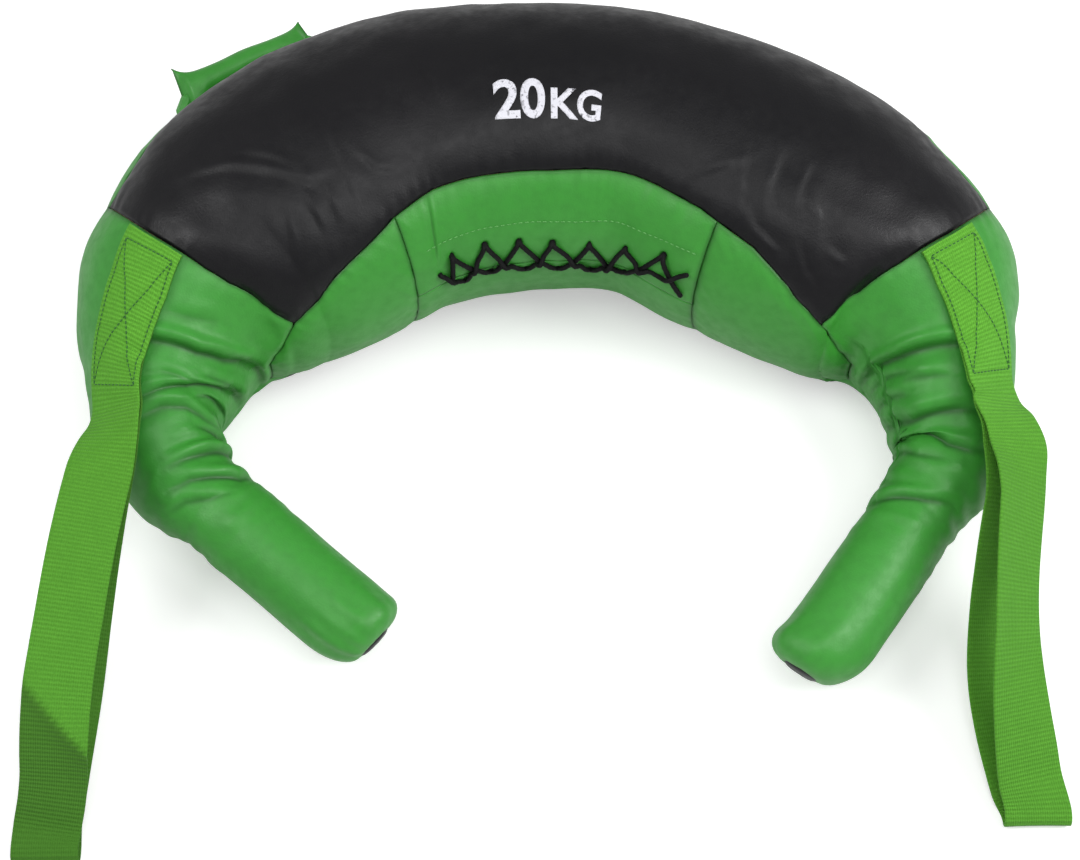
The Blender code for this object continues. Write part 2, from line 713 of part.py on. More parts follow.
def ball(radius, first_deg, last_deg, count):
    """Points of a round end about the joint, from one angle off the grip's line to another."""
    points = []
    for index in range(count + 1):
        angle = math.radians(first_deg + (last_deg - first_deg) * index / count)
        points.append((radius * math.sin(angle), radius * math.cos(angle)))
    return points


def grip_sleeve_profile():
    meet = math.degrees(math.asin(GRIP_RADIUS / CUFF_RADIUS))
    inside = GRIP_RADIUS - LEATHER
    inner_ball = CUFF_RADIUS - LEATHER
    inner_meet = math.degrees(math.asin(inside / inner_ball))
    mouth = GRIP_RADIUS - GRIP_LIP
    outer = [(mouth, GRIP_LENGTH), (GRIP_RADIUS - GRIP_LIP / 3, GRIP_LENGTH - GRIP_LIP / 3),
             (GRIP_RADIUS, GRIP_LENGTH - GRIP_LIP)]
    outer += ball(CUFF_RADIUS, meet, CUFF_BACK_DEG, 5)
    inner = ball(inner_ball, CUFF_BACK_DEG, inner_meet, 5)
    inner += [(inside, GRIP_LENGTH - LEATHER), (mouth, GRIP_LENGTH - LEATHER)]
    return outer + inner


def build_grips():
    for side, word in ((1, "right"), (-1, "left")):
        place = neck_point(side)
        direction = grip_direction(side)
        joint = make_joint("grip_joint_" + word, place)
        turned("grip_sleeve_" + word, grip_sleeve_profile(), GREEN_LEATHER, place, direction, joint)
        disc_top = GRIP_LENGTH - LEATHER - LAYER_GAP
        disc_radius = GRIP_RADIUS - LEATHER - LAYER_GAP
        disc = [(0.0, disc_top), (disc_radius - END_DISC_EDGE, disc_top),
                (disc_radius, disc_top - END_DISC_EDGE),
                (disc_radius, disc_top - END_DISC_THICKNESS), (0.0, disc_top - END_DISC_THICKNESS)]
        turned("grip_end_disc_" + word, disc, BLACK_LEATHER, place, direction, joint)
        core_ball = CUFF_RADIUS - LEATHER - LAYER_GAP
        core_top = disc_top - END_DISC_THICKNESS - LAYER_GAP
        meet = math.degrees(math.asin(disc_radius / core_ball))
        core = [(0.0, core_top), (disc_radius, core_top)]
        core += ball(core_ball, meet, 180.0, 7)
        core[-1] = (0.0, core[-1][1])
        turned("grip_core_" + word, core, FIBRE, place, direction, joint)


# Webbing loops

STACK = 2 * WEBBING + LOOP_LAYER_GAP


def sewn_row(at):
    """The sewn webbing's points across its width: round on the shoulder, flat at its end."""
    place = abs(at)
    flat = smooth_step(SEWN_FLAT_FROM, SEWN_END, place)
    radius = sum(station(at)[3:]) / 2
    middle = skin(at, WEBBING_ANGLE_DEG, -WEBBING_SEAT)
    across = heading(at).cross(outward(at, WEBBING_ANGLE_DEG)).normalized() * -1.0
    row = []
    for share in (-0.5, -0.25, 0.0, 0.25, 0.5):
        offset = share * WEBBING_WIDTH
        round_point = skin(at, WEBBING_ANGLE_DEG + turn_for(offset, radius), -WEBBING_SEAT)
        row.append(round_point.lerp(middle + across * offset, flat))
    return row


def loop_hinge(side):
    """The line that a free loop turns on, at the end of its sewn part."""
    at = side * SEWN_END
    row = sewn_row(at)
    across = (row[-1] - row[0]).normalized()
    ahead = heading(at) * side
    up = ahead.cross(across).normalized() * side
    middle = row[2] + up * (STACK / 2 + LOOP_LIFT)
    return middle, across, up, ahead


def loop_route(side, shares, hinge, reach, spread):
    points = []
    rolls = []
    floor = LOOP_FLOOR_GAP + WEBBING / 2
    for forward, outward_share, height, roll in shares:
        z = floor + (hinge.z - floor) * height
        points.append((hinge.x + side * spread * outward_share, hinge.y - reach * forward, z))
        rolls.append((roll, 0.0))
    table = np.array(points)
    knots = np.concatenate([[0.0], np.cumsum(np.linalg.norm(np.diff(table, axis=0), axis=1))])
    samples = np.linspace(0.0, knots[-1], 2 * len(shares) + 1)
    line = [Vector(hermite(knots, table, at)) for at in samples]
    twist = [float(hermite(knots, np.array(rolls), at)[0]) for at in samples]
    return line, twist


def build_loop(side, word, top_shares, under_shares, reach, spread, roll_deg):
    hinge, across, up, ahead = loop_hinge(side)
    joint = make_joint("strap_loop_joint_" + word, hinge)
    top, top_twist = loop_route(side, top_shares, hinge, reach, spread)
    under, under_twist = loop_route(side, under_shares, hinge, reach, spread)
    half = (WEBBING + LOOP_LAYER_GAP) / 2
    floor = LOOP_FLOOR_GAP + WEBBING / 2
    fold_low = Vector((hinge.x + side * spread, hinge.y - reach, floor))
    lift = Vector((0, 0, LOOP_FOLD_RADIUS))
    forward = Vector((0, -LOOP_FOLD_RADIUS, 0))
    fold = [fold_low + 2 * lift, fold_low + 1.7 * lift + 0.7 * forward, fold_low + lift + forward,
            fold_low + 0.3 * lift + 0.7 * forward, fold_low]
    start = [hinge - ahead * half * 0.7 + up * half * 0.7, hinge + up * half]
    end = [hinge - up * half, hinge - ahead * half * 0.7 - up * half * 0.7, hinge - ahead * half]
    line = start + top + fold + under + end
    twist = [0.0] * len(start) + top_twist + [0.0] * len(fold) + under_twist + [0.0] * len(end)
    level = Vector((side, 0.0, 0.0))
    square_end = len(start) + len(top)
    square_start = square_end + len(fold)
    square = set(range(len(start), square_end)) | set(range(square_start, square_start + len(under)))
    rows = []
    count = len(line)
    for index, point in enumerate(line):
        travel = (line[(index + 1) % count] - line[index - 1]).normalized()
        distance = (point - hinge).length / reach
        width = across.lerp(level, smooth_step(*LOOP_LEVEL_SHARES, distance)).normalized()
        facing = Matrix.Rotation(side * math.radians(roll_deg) * twist[index], 3, (0, 1, 0))
        width = facing @ width
        if index in square:
            width = (width - travel * width.dot(travel)).normalized()
        rows.append([point - width * (WEBBING_WIDTH / 2), point + width * (WEBBING_WIDTH / 2)])
    mesh = sheet_mesh("strap_loop_" + word, rows, ring=True)
    item = make_object("strap_loop_" + word, mesh, WEBBING_GREEN, parent=joint)
    thicken(item, WEBBING, 0.0)
    smooth(item)


def build_straps():
    for side, word, hinge_gap in ((1, "right", RIGHT_HINGE_GAP), (-1, "left", LEFT_HINGE_GAP)):
        end = SEWN_END - STACK / 2 - hinge_gap
        places = [side * place for place in even(SEWN_START, end, SIDE_STEP / 1.6)]
        if side < 0:
            places.reverse()
        rows = [sewn_row(at) for at in places]
        name = "strap_sewn_end_" + word
        item = make_object(name, sheet_mesh(name, rows), WEBBING_GREEN)
        thicken(item, STACK, 1.0)
        smooth(item)
    build_loop(1, "right", right_top_shares, right_under_shares,
               RIGHT_LOOP_REACH, RIGHT_LOOP_SPREAD, RIGHT_LOOP_ROLL_DEG)
    build_loop(-1, "left", left_top_shares, left_under_shares,
               LEFT_LOOP_REACH, LEFT_LOOP_SPREAD, LEFT_LOOP_ROLL_DEG)


# Rear handles

def handle_frame(side):
    """Hinge middle, hinge direction, half distance between the feet and outward direction."""
    depth = -(HANDLE_SEAT + LEATHER + HANDLE_SEAT + HANDLE_CORE_DIAMETER / 2)
    feet = [skin(side * HANDLE_AT + offset, HANDLE_ANGLE_DEG, depth)
            for offset in (-HANDLE_HALF_FOOT, HANDLE_HALF_FOOT)]
    along = (feet[1] - feet[0]).normalized()
    middle = (feet[0] + feet[1]) / 2
    rise = math.radians(HANDLE_RISE_RIGHT_DEG if side > 0 else HANDLE_RISE_LEFT_DEG)
    level = Vector((0, 0, 1)).cross(along).normalized()
    stand = level * math.cos(rise) + Vector((0, 0, math.sin(rise)))
    return middle, along, (feet[1] - feet[0]).length / 2, stand


def arch_point(frame, angle):
    middle, along, half, stand = frame
    cosine = math.cos(angle)
    sine = math.sin(angle)
    run = math.copysign(abs(cosine) ** HANDLE_SQUARENESS, cosine)
    return middle - along * (half * run) + stand * (HANDLE_STAND * abs(sine) ** HANDLE_SQUARENESS)


def arch_line(frame, count):
    return [arch_point(frame, math.pi * index / count) for index in range(count + 1)]


def build_handle(side, word):
    frame = handle_frame(side)
    along, stand = frame[1], frame[3]
    joint = make_joint("rear_handle_joint_" + word, frame[0])
    fine = arch_line(frame, 96)
    lengths = np.concatenate([[0.0], np.cumsum([(b - a).length for a, b in zip(fine, fine[1:])])])

    def on_arch(distance):
        return Vector([np.interp(distance, lengths, [point[axis] for point in fine]) for axis in range(3)])

    total = float(lengths[-1])
    radius = HANDLE_CORE_DIAMETER / 2
    line = [on_arch(step) for step in even(0.0, total, total / 18)]
    ball = [math.radians(angle) for angle in (75.0, 50.0, 25.0)]
    line = ([line[0] - stand * (radius * math.sin(angle)) for angle in ball] + line
            + [line[-1] - stand * (radius * math.sin(angle)) for angle in reversed(ball)])
    ends = [math.cos(angle) for angle in ball]
    radii = ends + [1.0] * (len(line) - 2 * len(ends)) + ends[::-1]
    build_cord("rear_handle_core_" + word, line, HANDLE_CORE_DIAMETER, FIBRE, joint, radii)
    side_way = along.cross(stand).normalized()
    rows = []
    for share in even(0.0, 1.0, 1 / 14):
        distance = total / 2 + (share - 0.5) * HANDLE_COVER_LENGTH
        point = on_arch(distance)
        travel = (on_arch(distance + PROBE) - on_arch(distance - PROBE)).normalized()
        out = side_way.cross(travel).normalized()
        edge = min(share, 1.0 - share)
        flare = HANDLE_FLARE * share_curve(cover_flare_shares, edge)
        half_height = HANDLE_COVER_HALF_HEIGHT + flare
        half_thickness = radius + HANDLE_COVER_GAP + LEATHER + flare
        wide, thick = side_way * half_height, out * half_thickness
        rows.append([point + wide * math.cos(angle) + thick * math.sin(angle)
                     for angle in np.linspace(0.0, 2 * math.pi, 12, endpoint=False)])
    name = "rear_handle_cover_" + word
    cover = make_object(name, sheet_mesh(name, rows, closed=True), GREEN_LEATHER, parent=joint)
    thicken(cover, LEATHER)
    smooth(cover)


def build_handles():
    for side, word in ((1, "right"), (-1, "left")):
        build_handle(side, word)
        for offset, end in ((-HANDLE_HALF_FOOT, "front"), (HANDLE_HALF_FOOT, "back")):
            centre = side * (HANDLE_AT - offset)
            turn = turn_for(PATCH_HALF_HEIGHT)
            places = even(centre - PATCH_HALF_LENGTH, centre + PATCH_HALF_LENGTH, PATCH_HALF_LENGTH / 2)
            angles = even(HANDLE_ANGLE_DEG - turn, HANDLE_ANGLE_DEG + turn, turn / 2)
            rows = [[skin(at, angle, -HANDLE_SEAT) for angle in angles] for at in places]
            name = "rear_handle_patch_" + word + "_" + end
            patch = make_object(name, sheet_mesh(name, rows), GREEN_LEATHER)
            thicken(patch, LEATHER, 1.0)
            smooth(patch)


build_panels()
build_lacing()
build_filling()
build_grips()
build_straps()
build_handles()
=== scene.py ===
"""Looks of the sandbag trainer: stuffed leather, webbing loops, lacing and stitching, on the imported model."""
import math

import bmesh
import bpy
import numpy as np
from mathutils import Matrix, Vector


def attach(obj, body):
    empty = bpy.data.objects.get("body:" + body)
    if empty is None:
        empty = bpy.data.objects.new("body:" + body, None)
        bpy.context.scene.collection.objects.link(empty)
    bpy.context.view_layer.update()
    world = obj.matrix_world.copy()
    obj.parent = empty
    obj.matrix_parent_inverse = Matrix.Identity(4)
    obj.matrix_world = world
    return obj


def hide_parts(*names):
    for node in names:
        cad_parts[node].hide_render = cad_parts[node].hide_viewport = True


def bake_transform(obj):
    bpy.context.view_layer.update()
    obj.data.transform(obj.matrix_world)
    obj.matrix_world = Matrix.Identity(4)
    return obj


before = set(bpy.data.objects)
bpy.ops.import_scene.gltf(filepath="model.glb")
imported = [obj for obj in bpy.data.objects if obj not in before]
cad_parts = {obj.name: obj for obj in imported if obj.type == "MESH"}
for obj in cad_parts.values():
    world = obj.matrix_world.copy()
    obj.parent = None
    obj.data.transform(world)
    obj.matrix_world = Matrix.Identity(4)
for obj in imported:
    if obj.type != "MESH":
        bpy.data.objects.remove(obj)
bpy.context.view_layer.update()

# The tube, as in the solid model
TUBE_HALF_WIDTH = 0.088
TUBE_HALF_HEIGHT = 0.088
NECK_RADIUS = 0.033
CRESCENT_HALF_SPAN = 0.233
CRESCENT_DEPTH = 0.213
BELLY_SINK = 0.004
FLOOR_GAP = 0.0002
BOTTOM_GAP = 0.0004
NECK_LIFT = 0.014
NECK_TURN = math.radians(31.0)
LEATHER = 0.0014
TOP_EDGE = 40.0
RIM_EDGE = 155.0
SEAM = 0.00015
SLIT_ANGLE = 3.0
# How fine each leather's grid is
TOP_GRID = 0.0021
BOTTOM_GRID = 0.0026
BAND_GRID = 0.0024
LACED_GRID = 0.0013
GUSSET_GRID = 0.0018
WEBBING_GRID = 0.0018
BRAID_GRID = 0.0007
SHOULDER_GRID = (225, 200)

# The lacing: its holes and crossings as (place along the tube, angle)
LACE_DIAMETER = 0.0030
LACE_LOW = 0.0015
BRAID_LAY = 0.0032
BRAID_RELIEF = 0.00010
HOLE_RADIUS = 0.0021
HOLE_DEPTH = 0.0024
upper_holes = [(-0.0720, 15.5), (-0.0435, 16.5), (-0.0205, 15.0), (0.0035, 13.0), (0.0375, 12.5),
               (0.0870, 14.5), (0.1190, 21.0)]
crossings = [(-0.0535, 6.0), (-0.0310, 5.0), (-0.0060, 4.0), (0.0210, 3.0), (0.0660, 1.5),
             (0.1050, 9.0)]
lower_holes = [(-0.0600, -1.0), (-0.0400, 0.5), (-0.0160, -1.5), (0.0073, -2.5), (0.0400, -4.0),
               (0.0890, 0.5)]

# The grips
GRIP_RADIUS = 0.0265
GRIP_LENGTH = 0.147
GRIP_FLOOR_GAP = 0.003
GRIP_LEAN_RIGHT = math.radians(36.0)
GRIP_LEAN_LEFT = math.radians(49.0)
GRIP_END_SLOPE = 0.20
GRIP_END_DEPTHS = {-1: (0.0200, 0.0095), 1: (0.0200, 0.0035)}
GRIP_END_DROP = 0.0145
GRIP_END_ON = {-1: 0.0030, 1: 0.0050}
GRIP_END_INWARD = {-1: 0.0, 1: 0.0045}
NECK_BLEND = 0.026
# How the leather bridges each shoulder's inner corner, and where the neck's fine wrinkles begin,
# are full, fade and end
BRIDGE_AT = {-1: 0.2595, 1: 0.2625}
BRIDGE_DEPTH = {-1: 0.0065, 1: 0.0095}
BRIDGE_REACH = 0.0160
BRIDGE_TURN = 42.0
WRINKLES = (0.30, 0.34, 0.39, 0.45)
CAP = 0.0022
CAP_CROWN = 0.0026
CENTRE_STEP = 0.0005
PAST_THE_TIP = 0.020

# The webbing
WEBBING_WIDTH = 0.038
WEBBING = 0.0016
WEBBING_SEAT = 0.0010
SEWN_END = 0.331
SEWN_FLAT_FROM = 0.295
LOOP_LIFT = 0.0014
LOOP_LAYER_GAP = 0.0006
LOOP_FOLD_RADIUS = 0.0045
LOOP_FLOOR_GAP = 0.0004
LOOP_LOWEST = 0.0009
STRAP_PAST_SEAM = 0.0012
STRAP_START = 0.016
STRAP_FREE = (0.070, 0.11)
WEBBING_CUP = 0.0004
WEBBING_SOFT = 0.0007
WEBBING_ROUNDING = 0.0005
STACK = 2 * WEBBING + LOOP_LAYER_GAP
STRAP_LEAN = math.radians(22.0)
STRAP_INWARD = 0.0040
STRAP_THREADS = 13
LOOP_LEVEL_SHARES = (0.0, 0.2)

# The rear handles
HANDLE_HALF_FOOT = 0.041
HANDLE_AT = 0.133
HANDLE_ANGLE = 190.0
HANDLE_STAND = 0.023
HANDLE_CORE_DIAMETER = 0.011
HANDLE_COVER_LENGTH = 0.096
HANDLE_COVER_HALF_HEIGHT = 0.0105
HANDLE_SEAT = 0.0005
HANDLE_COVER = 0.0010
SOLID_PATCH = 0.002
HANDLE_COVER_SLACK = 0.0028
HANDLE_FLARE_LENGTH = 0.022
HANDLE_CORNER_LENGTH = 0.0065
HANDLE_PINCH = 0.0011
HANDLE_RISE = {-1: math.radians(25.0), 1: math.radians(-50.0)}
PATCH = 0.0018
PATCH_HALF_LENGTH = 0.017
PATCH_HALF_HEIGHT = 0.016
PATCH_TOP = 0.0024
PATCH_STITCH_INSET = 0.0032

# The tube's plan and width, grip to grip: across, towards the front and width, as shares
right_horn_shares = [
    (0.000, 0.000, 1.000), (0.282, 0.037, 0.970), (0.584, 0.199, 1.065), (0.803, 0.350, 0.943),
    (0.945, 0.488, 0.665), (1.003, 0.665, 0.290), (1.016, 0.844, 0.085), (1.003, 1.000, 0.000)]
left_horn_shares = [
    (0.000, 0.000, 1.000), (0.348, 0.044, 1.100), (0.625, 0.188, 1.145), (0.815, 0.336, 0.977),
    (0.935, 0.491, 0.672), (0.985, 0.678, 0.331), (0.995, 0.844, 0.090), (0.925, 1.000, 0.000)]
# Its height and its lift off the floor, as shares, at the same places
height_shares = [
    (1.000, 0.00), (0.980, 0.00), (0.930, 0.00), (0.836, 0.00),
    (0.710, 0.00), (0.490, 0.17), (0.236, 0.61), (0.000, 1.00)]
# The free webbing's route: forward, outward, height and roll, as shares
right_top_shares = [
    (0.03, 0.06, 1.013, 0.0), (0.12, 0.62, 1.010, 0.3), (0.24, 0.74, 0.990, 0.9),
    (0.42, 0.46, 0.900, 1.1), (0.62, 0.24, 0.700, 1.1), (0.79, 0.40, 0.430, 0.7),
    (0.92, 0.72, 0.190, 0.3)]
right_under_shares = [
    (0.92, 0.60, 0.035, 0.1), (0.80, 0.20, 0.080, 0.3), (0.66, -0.10, 0.180, 0.5),
    (0.51, -0.05, 0.370, 0.7), (0.36, 0.20, 0.640, 0.9), (0.22, 0.54, 0.860, 0.8),
    (0.11, 0.48, 0.945, 0.3), (0.03, 0.05, 0.970, 0.0)]
left_top_shares = [
    (0.03, 0.03, 1.013, 0.0), (0.14, 0.17, 1.000, 0.3), (0.32, 0.38, 0.940, 0.8),
    (0.52, 0.58, 0.810, 1.0), (0.68, 0.72, 0.680, 1.0), (0.775, 0.78, 0.550, 0.7),
    (0.88, 0.85, 0.290, 0.4), (0.95, 0.97, 0.130, 0.2)]
left_under_shares = [
    (0.92, 1.00, 0.035, 0.1), (0.78, 0.92, 0.070, 0.4), (0.60, 0.78, 0.170, 0.8),
    (0.43, 0.62, 0.400, 1.0), (0.28, 0.42, 0.680, 0.8), (0.14, 0.20, 0.910, 0.3),
    (0.04, 0.02, 0.970, 0.0)]

# Stitches: pitch, length and thickness, and the hem's row as (place, angle)
PATCH_STITCH = (0.0034, 0.0026, 0.0006)
STRAP_STITCH = (0.0029, 0.0024, 0.0007)
HEM_STITCH = (0.0036, 0.0026, 0.0006)
STITCH_LIFT = 0.0001
HEM_LIFT = 0.0003
hem_line = [(-0.104, 23.5), (-0.0457, 24.5), (0.0223, 23.5), (0.1043, 26.5), (0.139, 29.0)]

# The left webbing's diagonal fold: how far along it, its slant, height and width; past it the webbing is
# painted darker, a painted shade
left_kinks = [(0.2870, -0.0185, 0.0075, 0.011)]

# Seams: the black panel's inner edge as (place, angle), and the shoulder seam as (angle, place)
left_edge_angles = [(0.0, 44.5), (0.05, 45.5), (0.079, 45.0), (0.122, 42.0), (0.18, 31.0), (0.2277, 19.0)]
right_edge_angles = [(0.0, 44.5), (0.093, 46.0), (0.131, 46.0), (0.168, 41.5), (0.20, 33.0), (0.2277, 22.0)]
left_shoulder_seam = [(0, 0.2700), (5, 0.2637), (10, 0.2497), (13, 0.2410), (19, 0.2277), (27, 0.2400),
                      (36, 0.2497), (55, 0.2567), (69, 0.2567), (101, 0.2507), (150, 0.2387), (180, 0.2350)]
right_shoulder_seam = [(0, 0.2830), (8, 0.2740), (15, 0.2610), (18, 0.2500), (22, 0.2277), (32, 0.2440),
                       (44, 0.2573), (70, 0.2593), (100, 0.2563), (140, 0.2483), (180, 0.2420)]
# Below the middle line the shoulder seam has its cusp drawn out: turns there and above
under_turns = (0.0, 22.0, 50.0, 180.0)
upper_turns = (0.0, 4.0, 50.0, 180.0)
RIM_RISE = 10.0
LOWER_EDGE_DROP = 13.0
LEFT_GUSSET_SEAM = 0.1210
RIGHT_GUSSET_SEAM = 0.1430
# The sewn webbing's middle line, from the shoulder seam to the loop's hinge
strap_line = [(0.2535, 97.0), (0.275, 100.5), (0.297, 108.0), (0.318, 118.5), (0.331, 124.0)]


def smooth_curve(knots, values, at, start=None, end=None):
    """Smooth curve through the values at the knots, read at many places."""
    knots = np.asarray(knots, float)
    values = np.asarray(values, float)
    steps = np.diff(knots)
    slopes = np.diff(values, axis=0) / steps[:, None]
    tangents = np.empty_like(values)
    tangents[0] = slopes[0] if start is None else start
    tangents[-1] = slopes[-1] if end is None else end
    before, after = steps[:-1, None], steps[1:, None]
    tangents[1:-1] = (slopes[:-1] * after + slopes[1:] * before) / (before + after)
    at = np.asarray(at, float)
    span = np.clip(np.searchsorted(knots, at, side="right") - 1, 0, len(steps) - 1)
    share = ((at - knots[span]) / steps[span])[..., None]
    step = steps[span][..., None]
    square, cube = share ** 2, share ** 3
    return ((2 * cube - 3 * square + 1) * values[span] + (cube - 2 * square + share) * step * tangents[span]
            + (3 * square - 2 * cube) * values[span + 1] + (cube - square) * step * tangents[span + 1])


def ease(low, high, at):
    """Smooth step from 0 at low to 1 at high."""
    share = np.clip((np.asarray(at, float) - low) / (high - low), 0.0, 1.0)
    return share * share * (3 - 2 * share)


def unit(rows):
    """The same directions at length 1."""
    rows = np.asarray(rows, float)
    return rows / np.maximum(np.linalg.norm(rows, axis=-1, keepdims=True), 1e-12)


def run_lengths(points):
    """How far along a line of points each of them lies."""
    return np.concatenate([[0.0], np.cumsum(np.linalg.norm(np.diff(points, axis=0), axis=1))])


def signed(angle):
    """The angle from the hollow's side, counted up or down: -180 to 180."""
    return (np.asarray(angle, float) + 180.0) % 360.0 - 180.0


# The tube's centre line, from grip to grip

def horn_rows(horn_shares):
    """Centre and half sizes of the tube at each place of its plan."""
    rows = []
    for (x, y, width), (height, lift) in zip(horn_shares, height_shares):
        half_width = NECK_RADIUS + width * (TUBE_HALF_WIDTH - NECK_RADIUS)
        half_height = NECK_RADIUS + height * (TUBE_HALF_HEIGHT - NECK_RADIUS)
        z = half_height - BELLY_SINK + lift * (NECK_LIFT + BELLY_SINK)
        rows.append((x * CRESCENT_HALF_SPAN, -y * CRESCENT_DEPTH, z, half_width, half_height))
    return np.array(rows)


RIGHT_ROWS = horn_rows(right_horn_shares)
LEFT_ROWS = horn_rows(left_horn_shares)
KNOTS = np.mean([run_lengths(rows[:, :2]) for rows in (RIGHT_ROWS, LEFT_ROWS)], axis=0)
NECK_AT = float(KNOTS[-1])
TIP_AT = NECK_AT + GRIP_LENGTH


def horn(side, at):
    """Centre and half sizes along one horn, at distances from the middle."""
    rows = RIGHT_ROWS if side > 0 else LEFT_ROWS
    start = np.array([1.0, 0.0, 0.0, 0.0, 0.0])
    end = np.array([-math.sin(NECK_TURN), -math.cos(NECK_TURN), 0.0, 0.0, 0.0])
    line = smooth_curve(KNOTS, rows, np.minimum(at, NECK_AT), start, end)
    line[:, :2] += np.maximum(at - NECK_AT, 0.0)[:, None] * end[:2]
    line[:, 0] *= side
    return line


def grip_direction(side):
    """The way a grip points: forward, leaning in and down to the floor."""
    lean = GRIP_LEAN_RIGHT if side > 0 else GRIP_LEAN_LEFT
    drop = (NECK_RADIUS + NECK_LIFT) - GRIP_RADIUS - GRIP_FLOOR_GAP
    flat = math.sqrt(GRIP_LENGTH ** 2 - drop ** 2)
    return unit([-side * math.sin(lean) * flat, -math.cos(lean) * flat, -drop])


def neck_point(side):
    """Where a grip flexes: the middle of the tube's end."""
    return horn(side, np.array([NECK_AT]))[0][:3]


def centre_table():
    """Every half millimetre: centre, half sizes and the direction in which the tube runs."""
    out = np.arange(0.0, TIP_AT + PAST_THE_TIP, CENTRE_STEP)
    halves = []
    for side in (-1, 1):
        line = horn(side, out)
        straight = neck_point(side) + grip_direction(side) * (out - NECK_AT)[:, None]
        bend = ease(NECK_AT - NECK_BLEND, NECK_AT + NECK_BLEND, out)[:, None]
        line[:, :3] = line[:, :3] * (1 - bend) + straight * bend
        slim = ease(NECK_AT - 0.004, NECK_AT + 0.030, out)[:, None]
        line[:, 3:] = line[:, 3:] * (1 - slim) + GRIP_RADIUS * slim
        halves.append(line)
    places = np.concatenate([-out[:0:-1], out])
    rows = np.concatenate([halves[0][:0:-1], halves[1]])
    along = np.gradient(rows[:, :3], places, axis=0)
    tilt = ease(NECK_AT - NECK_BLEND, NECK_AT + NECK_BLEND, np.abs(places))
    along[:, 2] *= tilt
    along = unit(along)
    return places, np.concatenate([rows, along], axis=1)


PLACES, TABLE = centre_table()


def tube(at):
    """Centre, half width, half height, run, inward and over directions at places along the tube."""
    at = np.asarray(at, float)
    row = np.stack([np.interp(at, PLACES, TABLE[:, index]) for index in range(8)], axis=-1)
    along = unit(row[..., 5:8])
    inward = unit(np.stack([along[..., 1], -along[..., 0], np.zeros_like(at)], axis=-1))
    over = unit(np.cross(inward, along))
    return row[..., :3], row[..., 3], row[..., 4], along, inward, over


def corner_bridge(at, angle):
    """The leather spans the tight inner corner of each shoulder instead of following it in."""
    left = np.asarray(at, float) < 0
    place = np.where(left, BRIDGE_AT[-1], BRIDGE_AT[1])
    depth = np.where(left, BRIDGE_DEPTH[-1], BRIDGE_DEPTH[1])
    fade = np.cos(np.radians(np.clip(np.abs(signed(angle)) * 90.0 / BRIDGE_TURN, 0.0, 90.0))) ** 1.5
    return depth * fade * np.exp(-np.abs((np.abs(at) - place) / BRIDGE_REACH) ** 2.6)


def round_skin(at, angle):
    """The skin before it is lifted or flattened by the floor."""
    centre, half_width, half_height, _, inward, over = tube(at)
    turn = np.radians(angle)
    point = (centre + inward * (half_width * np.cos(turn))[..., None]
             + over * (half_height * np.sin(turn))[..., None])
    point[..., 1] -= corner_bridge(at, angle)
    return point


def outward(at, angle):
    """The way out of the leather at places on the skin."""
    reach, turn = 0.0008, 0.5
    step = round_skin(at + reach, angle) - round_skin(at - reach, angle)
    swing = round_skin(at, angle + turn) - round_skin(at, angle - turn)
    return unit(np.cross(step, swing))


def skin(at, angle, lift=0.0):
    """Points on the bag's skin: place along the tube, angle round it, and lift above it."""
    at, angle, lift = np.broadcast_arrays(*[np.asarray(v, float) for v in (at, angle, lift)])
    point = round_skin(at, angle) + outward(at, angle) * lift[..., None]
    point[..., 2] = np.maximum(point[..., 2], np.maximum(-lift, FLOOR_GAP))
    return point


def seam_angle(at, angle):
    """From an even spread of angles to the real ones: the seams drop towards the shoulders."""
    left, right = np.array(left_edge_angles), np.array(right_edge_angles)
    at = np.asarray(at, float)
    edge = np.where(at < 0, np.interp(-at, left[:, 0], left[:, 1]), np.interp(at, right[:, 0], right[:, 1]))
    rim = RIM_EDGE - RIM_RISE * ease(0.16, 0.24, np.abs(at))
    turn = signed(angle)
    edge = edge + np.where(turn < 0, LOWER_EDGE_DROP * ease(0.12, 0.19, np.abs(at)), 0.0)
    size = np.abs(turn)
    inner = size * edge / TOP_EDGE
    outer = edge + (size - TOP_EDGE) * (rim - edge) / (RIM_EDGE - TOP_EDGE)
    band = rim + (size - RIM_EDGE) * (180.0 - rim) / (180.0 - RIM_EDGE)
    size = np.where(size <= TOP_EDGE, inner, np.where(size < RIM_EDGE, outer, band))
    return np.copysign(size, turn)


def arc_for(angle, radius=TUBE_HALF_HEIGHT):
    """Length round the tube for an angle."""
    return np.radians(angle) * radius


def turn_for(length, radius=TUBE_HALF_HEIGHT):
    """Angle for a length round the tube."""
    return np.degrees(length / radius)


def shoulder_seam(side, real_angle):
    """How far along the tube the shoulder's leather starts, by the angle round it."""
    table = np.array(right_shoulder_seam if side > 0 else left_shoulder_seam)
    turn = signed(real_angle)
    under = np.interp(-turn, under_turns, upper_turns)
    return np.interp(np.where(turn < 0, under, turn), table[:, 0], table[:, 1])


def seam_end(side, angle):
    """The same for an evenly spread angle, whose real angle changes on the way there."""
    place = shoulder_seam(side, angle)
    for _ in range(12):
        place = 0.5 * place + 0.5 * shoulder_seam(side, seam_angle(side * place, angle))
    return place


# Soft unevenness of stuffed leather

def waves(points, size, seed, count=14):
    """Smooth noise, about -1 to 1, from plane waves of one size in fixed mixed directions."""
    chooser = np.random.default_rng(seed)
    total = np.zeros(points.shape[:-1])
    for _ in range(count):
        direction = unit(chooser.normal(size=points.shape[-1]))
        length = size * chooser.uniform(0.75, 1.5)
        total += np.sin(points @ direction * (2 * math.pi / length) + chooser.uniform(0, 2 * math.pi))
    return total / math.sqrt(count / 2) / 1.6


BROAD_WAVE = 0.085
SMALL_WAVE = 0.026
SMALL_SWELL = 0.00032
